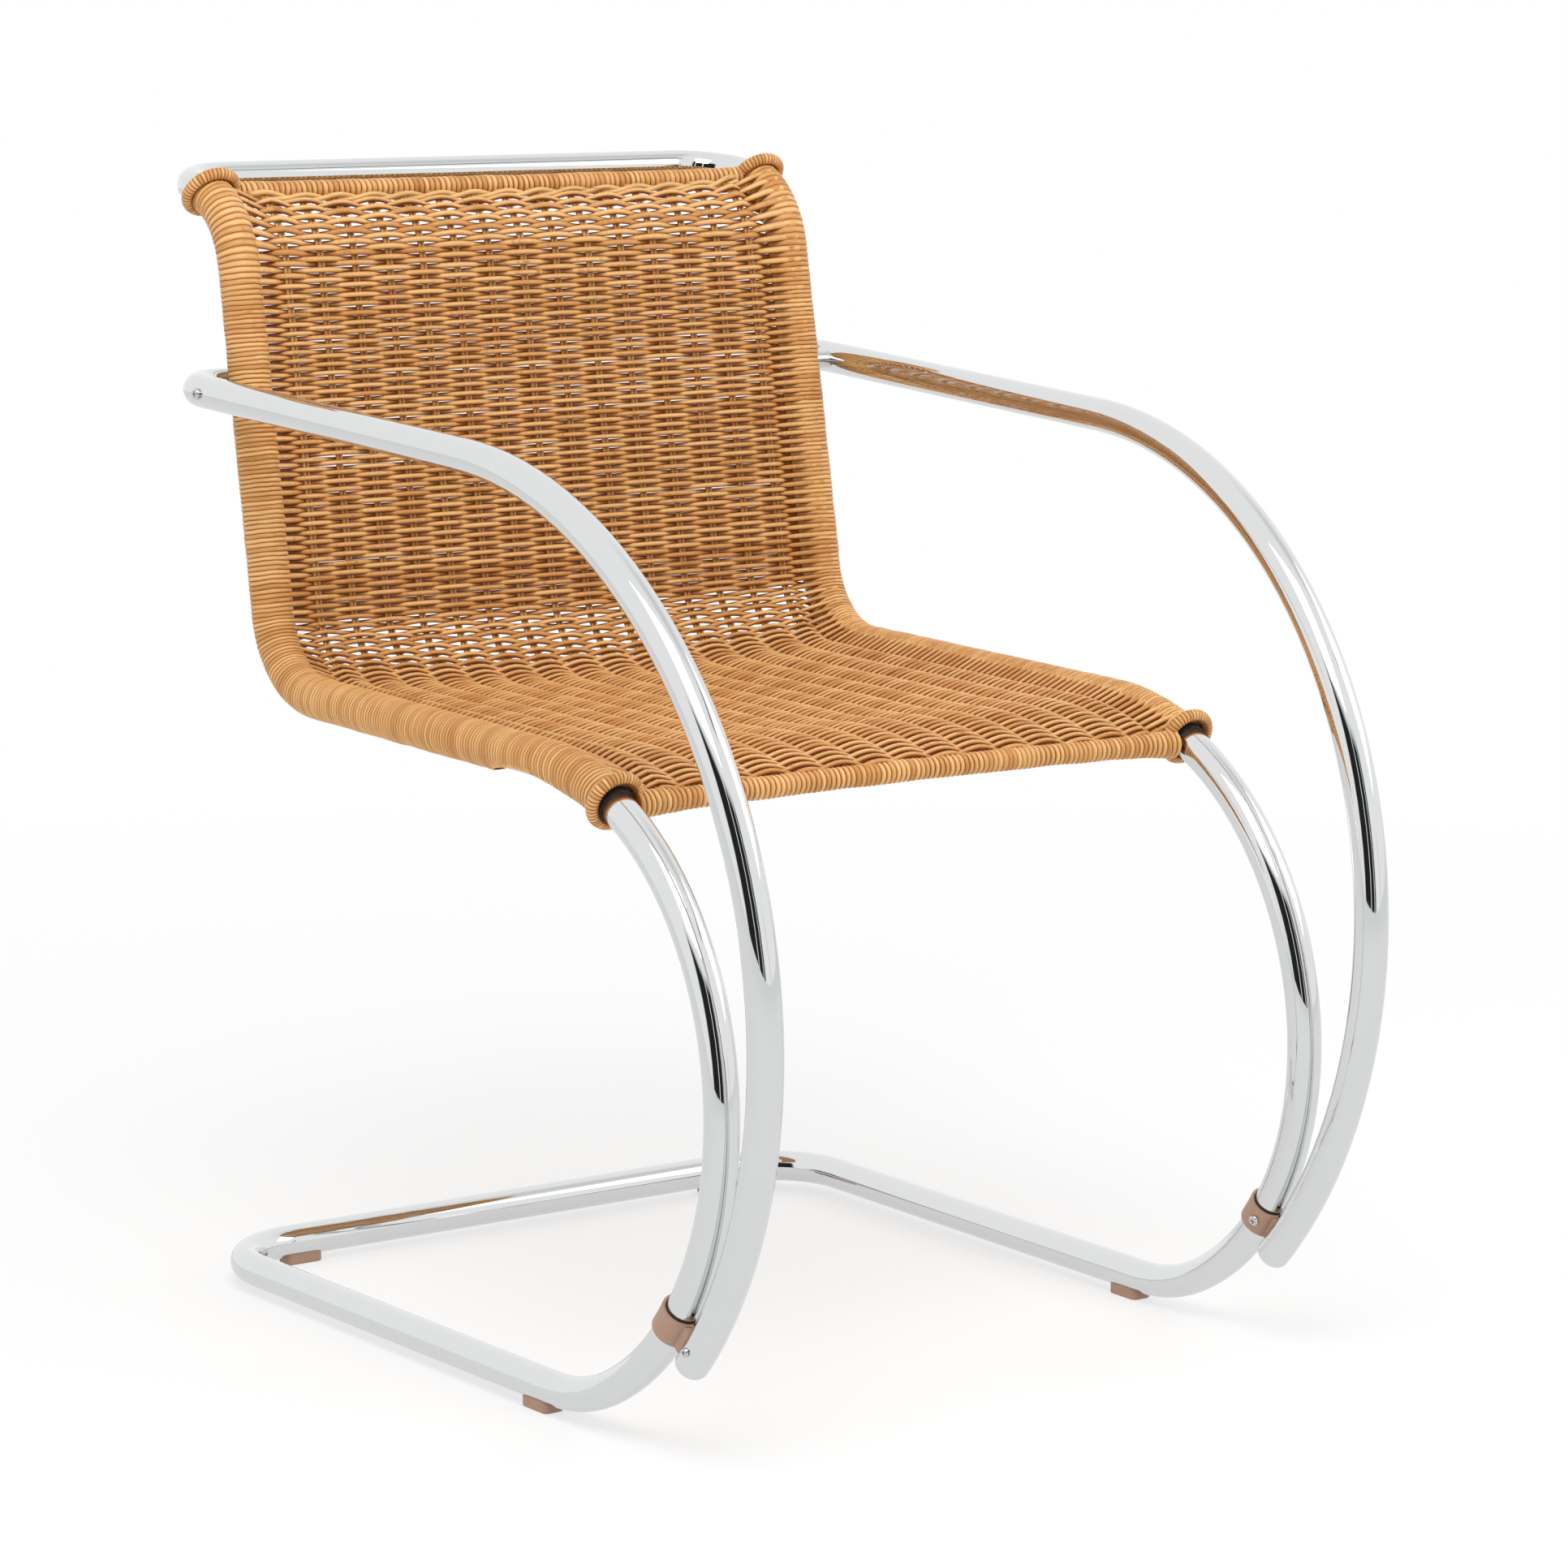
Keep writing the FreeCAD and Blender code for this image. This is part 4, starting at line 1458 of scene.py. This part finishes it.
    def _shade_in_creases(self, p: np.ndarray) -> np.ndarray:
        """Paint shade by how far points lie in the crease beside their strand or under others.

        Args:
            p: An (n, 3) array of points, ring by ring.

        Returns:
            One value from 0 to 1 for each point.
        """
        rings = p.reshape(-1, self.sides, 3)
        middle = rings.mean(axis=1, keepdims=True)
        out = rings - middle
        size = np.abs(out).max(axis=(1, 2), keepdims=True)[..., 0]
        flank = np.abs(out[..., 0]) / size
        # Painted shade on the flanks of each strand, and more on the side that lies under other
        # strands.
        crease = np.interp(flank, (0.0, 0.45, 0.75, 1.0), (0.0, 0.1, 0.52, 1.0))
        under = np.clip(-np.sign(out[..., 2]) * middle[..., 2] / MM / 6.0, 0.0, 0.55)
        return np.clip(crease + under, 0.0, 1.0).ravel()

    def _stakes(self) -> Piece:
        """Lay the paired stakes flat.

        Returns:
            The flat stakes.
        """
        first = -(self.pairs - 1) / 2 * self.pair_pitch - self.stake_gap / 2
        step = (ROUTE.rows + self.over_run) * self.row_pitch / self.stake_pieces * MM
        stake = circle(self.stake_radius * MM, self.sides, (0, first * MM, 0), "cane_stakes")
        draw_out(stake, [((step, 0, 0), 1.0, ORIGIN)])
        array(stake, self.stake_pieces, (step, 0, 0), TOUCH)
        array(stake, 2, (0, self.stake_gap * MM, 0))
        array(stake, self.pairs, (0, self.pair_pitch * MM, 0))
        mend(stake)
        tones = np.random.default_rng(3).random(4 * self.pairs)

        def rule(p: np.ndarray) -> np.ndarray:
            """Across by place, along the stake, and each pair's own tone."""
            column = ((p[:, 1] / MM - first + 2) / self.pair_pitch).astype(int)
            tone = tones[np.clip(column, 0, len(tones) - 1)]
            return np.stack([p[:, 1], p[:, 0] * self.stake_stretch, tone], axis=1)

        write_lay(stake, rule, lambda p: np.full(len(p), self.stake_shade))
        ruffle(stake, size=0.02, amount=0.0006, axis="Y")
        return stake

    def _pairing(self) -> Piece:
        """Twist two canes round the stakes under the top roll.

        Returns:
            The flat twisted row.
        """
        made = []
        reach = (self.pairs / 2 - 0.1) * self.pair_pitch
        at = (ROUTE.rows + self.twist_row) * self.row_pitch
        flat, deep = self.twist_swing
        count = self.pairs * 8
        for phase in (0.0, pi):
            path = []
            for i in range(count + 1):
                y = -reach + 2 * reach * i / count
                a = pi * y / self.pair_pitch + phase
                path.append((at + flat * sin(a), y, 1.0 + deep * cos(a)))
            made.append(self._strand(path, self.twist_radius))
        row = join(made, "cane_pairing")
        with editing(row):
            bpy.ops.mesh.fill_holes(sides=self.sides)
        mend(row)

        def rule(p: np.ndarray) -> np.ndarray:
            """Across by height, along the row, and one tone."""
            return np.stack([p[:, 2], p[:, 1], np.full(len(p), self.twist_tone)], axis=1)

        # Painted shade: darker where the twisted canes lie behind the stakes.
        write_lay(row, rule, lambda p: np.clip(-p[:, 2] / MM / 5.0, 0.0, 0.5))
        return row

    def _hang(self, piece: Piece) -> None:
        """Hang a flat piece on the side tubes.

        Args:
            piece: The flat piece, rows along X.
        """
        low, high = -3.0, ROUTE.rows + 6.0
        reach, lift = 1.12, 22.0
        pitch = self.row_pitch * MM

        def hung(at: Vector, inward: Matrix) -> Vector:
            """Each point moved to its place on the sheet."""
            row = low + (at.x + 0.5) * (high - low)
            return inward @ ROUTE.sheet(row, at.y * 2 * reach, at.z * 2 * lift)

        size = ((high - low) * pitch, 2 * reach * self.half * MM, 2 * lift * MM)
        reshape(piece, (high + low) / 2 * pitch, size, (64, 23, 2),
                (CURVED, CURVED, STRAIGHT), hung)

    def _tuck_ends(self, piece: Piece) -> None:
        """Lift the low ends of the wefts into the tube where the sleeve is open below.

        Args:
            piece: A hung piece.
        """
        points = read_points(piece)
        rail = range(0, 160, 8)
        axis = np.array([ROUTE.axis(float(s)) for s in rail])
        level = np.interp(points[:, 1], axis[:, 1], axis[:, 2])
        slot_y = ROUTE.place(SideSleeve.slot_at, 0.0).y
        near = np.abs(points[:, 1] - slot_y) < self.tuck_reach * MM
        outside = np.abs(points[:, 0]) > self.tuck_from * MM
        low = points[:, 2] < level - self.tuck_below * MM
        points[near & outside & low, 2] += self.tuck * MM
        write_points(piece, points)


@dataclass
class TubeWork:
    """CAD nodes whose shape stays and that only get a finish."""

    finishes: dict[str, Finish] = field(default_factory=lambda: {
        "chromed_tube": BrightChrome(), "screw_steel": PolishedSteel(),
        "splice_steel": PolishedSteel((0.4, 0.4, 0.41)), "tan_plastic": TanPlastic(),
        "black_rubber": BlackMatt(),
    })

    def dress(self) -> int:
        """Give each node the finish of its slot in the record.

        Returns:
            How many nodes were dressed.
        """
        parts = [part for part in frame["record"]["subparts"]
                 if part["material_slot"] in self.finishes]
        for part in parts:
            self.finishes[part["material_slot"]].dress(frame["nodes"][part["node"]])
        return len(parts)


# The studio


Band = tuple[float, float, float]
Patch = tuple[Band, Band, float]
Lamp = tuple[str, Point, float, float]


@dataclass
class Studio:
    """Camera, floor, world and lamps.

    A band is its two edges and the width over which they fade, in degrees. A
    patch of the room is a band of turns about the chair, a band of rises, and
    how strong it is.
    """

    azimuth: float = -35.22
    elevation: float = 9.08
    roll: float = -0.11
    lens: float = 116.12
    eye: Point = (-2.0473, -2.9517, 0.9648)
    shift: Pair = (-0.00095, -0.00036)
    plain: float = 0.86
    floor_colour: Colour = (0.9, 0.9, 0.9)
    floor_glow: float = 0.6
    glow_from: float = 0.75
    glow_over: float = 1.6
    mirrored_glow: float = 0.15
    mirrored_floor: float = 0.83
    mirrored_share: float = 0.75
    wall: float = 0.98
    dark: float = 0.02
    wide_gap: Patch = ((-78, -6, 5.0), (-20, 37, 6.0), 1.0)
    lamp_bands: tuple[Band, Band] = ((-41, -37, 0.8), (-19, -15.5, 0.8))
    far_lamp: float = 0.9
    thin_gap: Patch = ((22, 25, 1.0), (-20, 14, 3.0), 0.5)
    high_gap: Patch = ((30, 66, 6.0), (43, 50, 3.0), 0.75)
    dim_corner: Patch = ((40, 120, 30.0), (36, 80, 18.0), 0.25)
    lamps: tuple[Lamp, ...] = (("key", (-1.1, -1.5, 3.0), 1.8, 46.0),
                               ("fill", (2.4, -1.4, 2.0), 1.8, 14.0))

    def build(self) -> None:
        """Set up everything that isn't the chair."""
        self._camera()
        self._floor()
        self._world()
        for lamp in self.lamps:
            self._lamp(*lamp)
        bpy.context.scene.view_settings.view_transform = "Standard"

    def _camera(self) -> None:
        """Place the camera where the photograph was taken."""
        lens = bpy.data.cameras.new("camera")
        lens.lens = self.lens
        lens.sensor_width = 36.0
        lens.shift_x, lens.shift_y = self.shift
        lens.clip_start, lens.clip_end = 0.05, 60.0
        camera = bpy.data.objects.new("camera", lens)
        bpy.context.scene.collection.objects.link(camera)
        a, e = radians(self.azimuth), radians(self.elevation)
        away = Vector((sin(a) * cos(e), -cos(a) * cos(e), sin(e)))
        turn = (-away).to_track_quat("-Z", "Y").to_matrix().to_4x4()
        turn = turn @ Matrix.Rotation(radians(self.roll), 4, "Z")
        camera.matrix_world = Matrix.Translation(self.eye) @ turn
        bpy.context.scene.camera = camera

    def _floor(self) -> None:
        """Lay a wide pale floor, white to the eye away from the chair."""
        clear()
        bpy.ops.mesh.primitive_plane_add(size=24.0, location=ORIGIN)
        floor = bpy.context.object
        floor.name = "floor"
        surface = bpy.data.materials.new("PaleFloor")
        surface.use_nodes = True
        recipe = Recipe(surface.node_tree)
        path = recipe.node("LightPath")
        glossy = recipe.wire(path, "Is Glossy Ray")
        seen = recipe.wire(path, "Is Camera Ray") + glossy * self.mirrored_glow
        length = recipe.node("VectorMath", {"operation": "LENGTH"}, i0=recipe.place())
        away = ((recipe.wire(length, "Value") - self.glow_from) / self.glow_over).clamp()
        share = seen * (away * (1.0 - self.floor_glow) + self.floor_glow)
        matt = recipe.node("BsdfDiffuse", Color=self.floor_colour)
        glow, mirrored = (recipe.node("Emission", Color=(1.0, 1.0, 1.0), Strength=strength)
                          for strength in (1.0, self.mirrored_floor))
        both = recipe.node("MixShader", i0=share, i1=matt.outputs[0], i2=glow.outputs[0])
        whole = recipe.node("MixShader", i0=glossy * self.mirrored_share, i1=both.outputs[0],
                            i2=mirrored.outputs[0])
        recipe.node("OutputMaterial", Surface=whole.outputs[0])
        floor.data.materials.append(surface)

    def _world(self) -> None:
        """White to the eye and to metal, plain light to the rest."""
        world = bpy.data.worlds.new("studio")
        bpy.context.scene.world = world
        world.use_nodes = True
        recipe = Recipe(world.node_tree)
        path = recipe.node("LightPath")
        seen = recipe.wire(path, "Is Camera Ray").most(recipe.wire(path, "Is Transmission Ray"))
        glossy = recipe.wire(path, "Is Glossy Ray")
        strength = (seen * (1.0 - self.plain) + self.plain) * (1.0 - glossy)
        strength = strength + glossy * self._room(recipe)
        light = recipe.node("Background", Color=(1.0, 1.0, 1.0), Strength=strength)
        recipe.node("OutputWorld", Surface=light.outputs[0])

    def _room(self, recipe: Recipe) -> Wire:
        """Write what the metal sees: white walls, and dark gaps beside the lamps.

        Args:
            recipe: The world's recipe.

        Returns:
            Brightness by direction.
        """
        x, y, z = recipe.split(recipe.place("Generated"))
        turn = x.calc("ARCTAN2", x, y * -1.0) * degrees(1)
        rise = z.calc("ARCSINE", z) * degrees(1)

        def band(value: Wire, low: float, high: float, soft: float) -> Wire:
            """1 between two edges, and 0 beyond them."""
            return ((value - low) / soft).clamp() * ((high - value) / soft).clamp()

        def patch(turns: Band, rises: Band, share: float) -> Wire:
            """A soft rectangle of the room."""
            return band(turn, *turns) * band(rise, *rises) * share

        near, far = (band(turn, *edges) for edges in self.lamp_bands)
        gap = patch(*self.wide_gap) * (1.0 - (near + far * self.far_lamp).least(1.0))
        gap = gap + patch(*self.thin_gap) + patch(*self.high_gap)
        return ((self.wall - patch(*self.dim_corner)) * (1.0 - gap.least(1.0))
                + self.dark)

    def _lamp(self, name: str, at: Point, size: float, power: float) -> None:
        """Hang one square soft lamp that looks at the chair.

        Args:
            name: Lamp name.
            at: Position in metres.
            size: Side of the lamp in metres.
            power: Power in watts.
        """
        lamp = bpy.data.lights.new(name, "AREA")
        lamp.shape, lamp.size, lamp.energy = "SQUARE", size, power
        holder = bpy.data.objects.new(name, lamp)
        bpy.context.scene.collection.objects.link(holder)
        place = Vector(at)
        turn = (Vector((0, 0, 0.4)) - place).to_track_quat("-Z", "Y")
        holder.matrix_world = Matrix.Translation(place) @ turn.to_matrix().to_4x4()
        holder.visible_camera = False


def main() -> None:
    """Build the chair in order and report each piece."""
    Studio().build()
    log.info("dressed %d tube and fitting nodes", TubeWork().dress())
    for side in Side:
        log.info("wound %s", SideSleeve(side).build().name)
        for place in End:
            log.info("wound %s", EndRing(side, place).build().name)
    for roll in (EdgeRoll(End.FRONT, pitch=4.2, sag=-3.0, lift=0.0, flare=0.36, end_gap=13.5),
                 EdgeRoll(End.TOP, pitch=4.6, sag=0.5, lift=1.5)):
        log.info("wound %s", roll.build().name)
    for piece in WovenSheet().build():
        log.info("wove %s with %d faces", piece.name, len(piece.data.polygons))


if __name__ == "__main__":
    main()
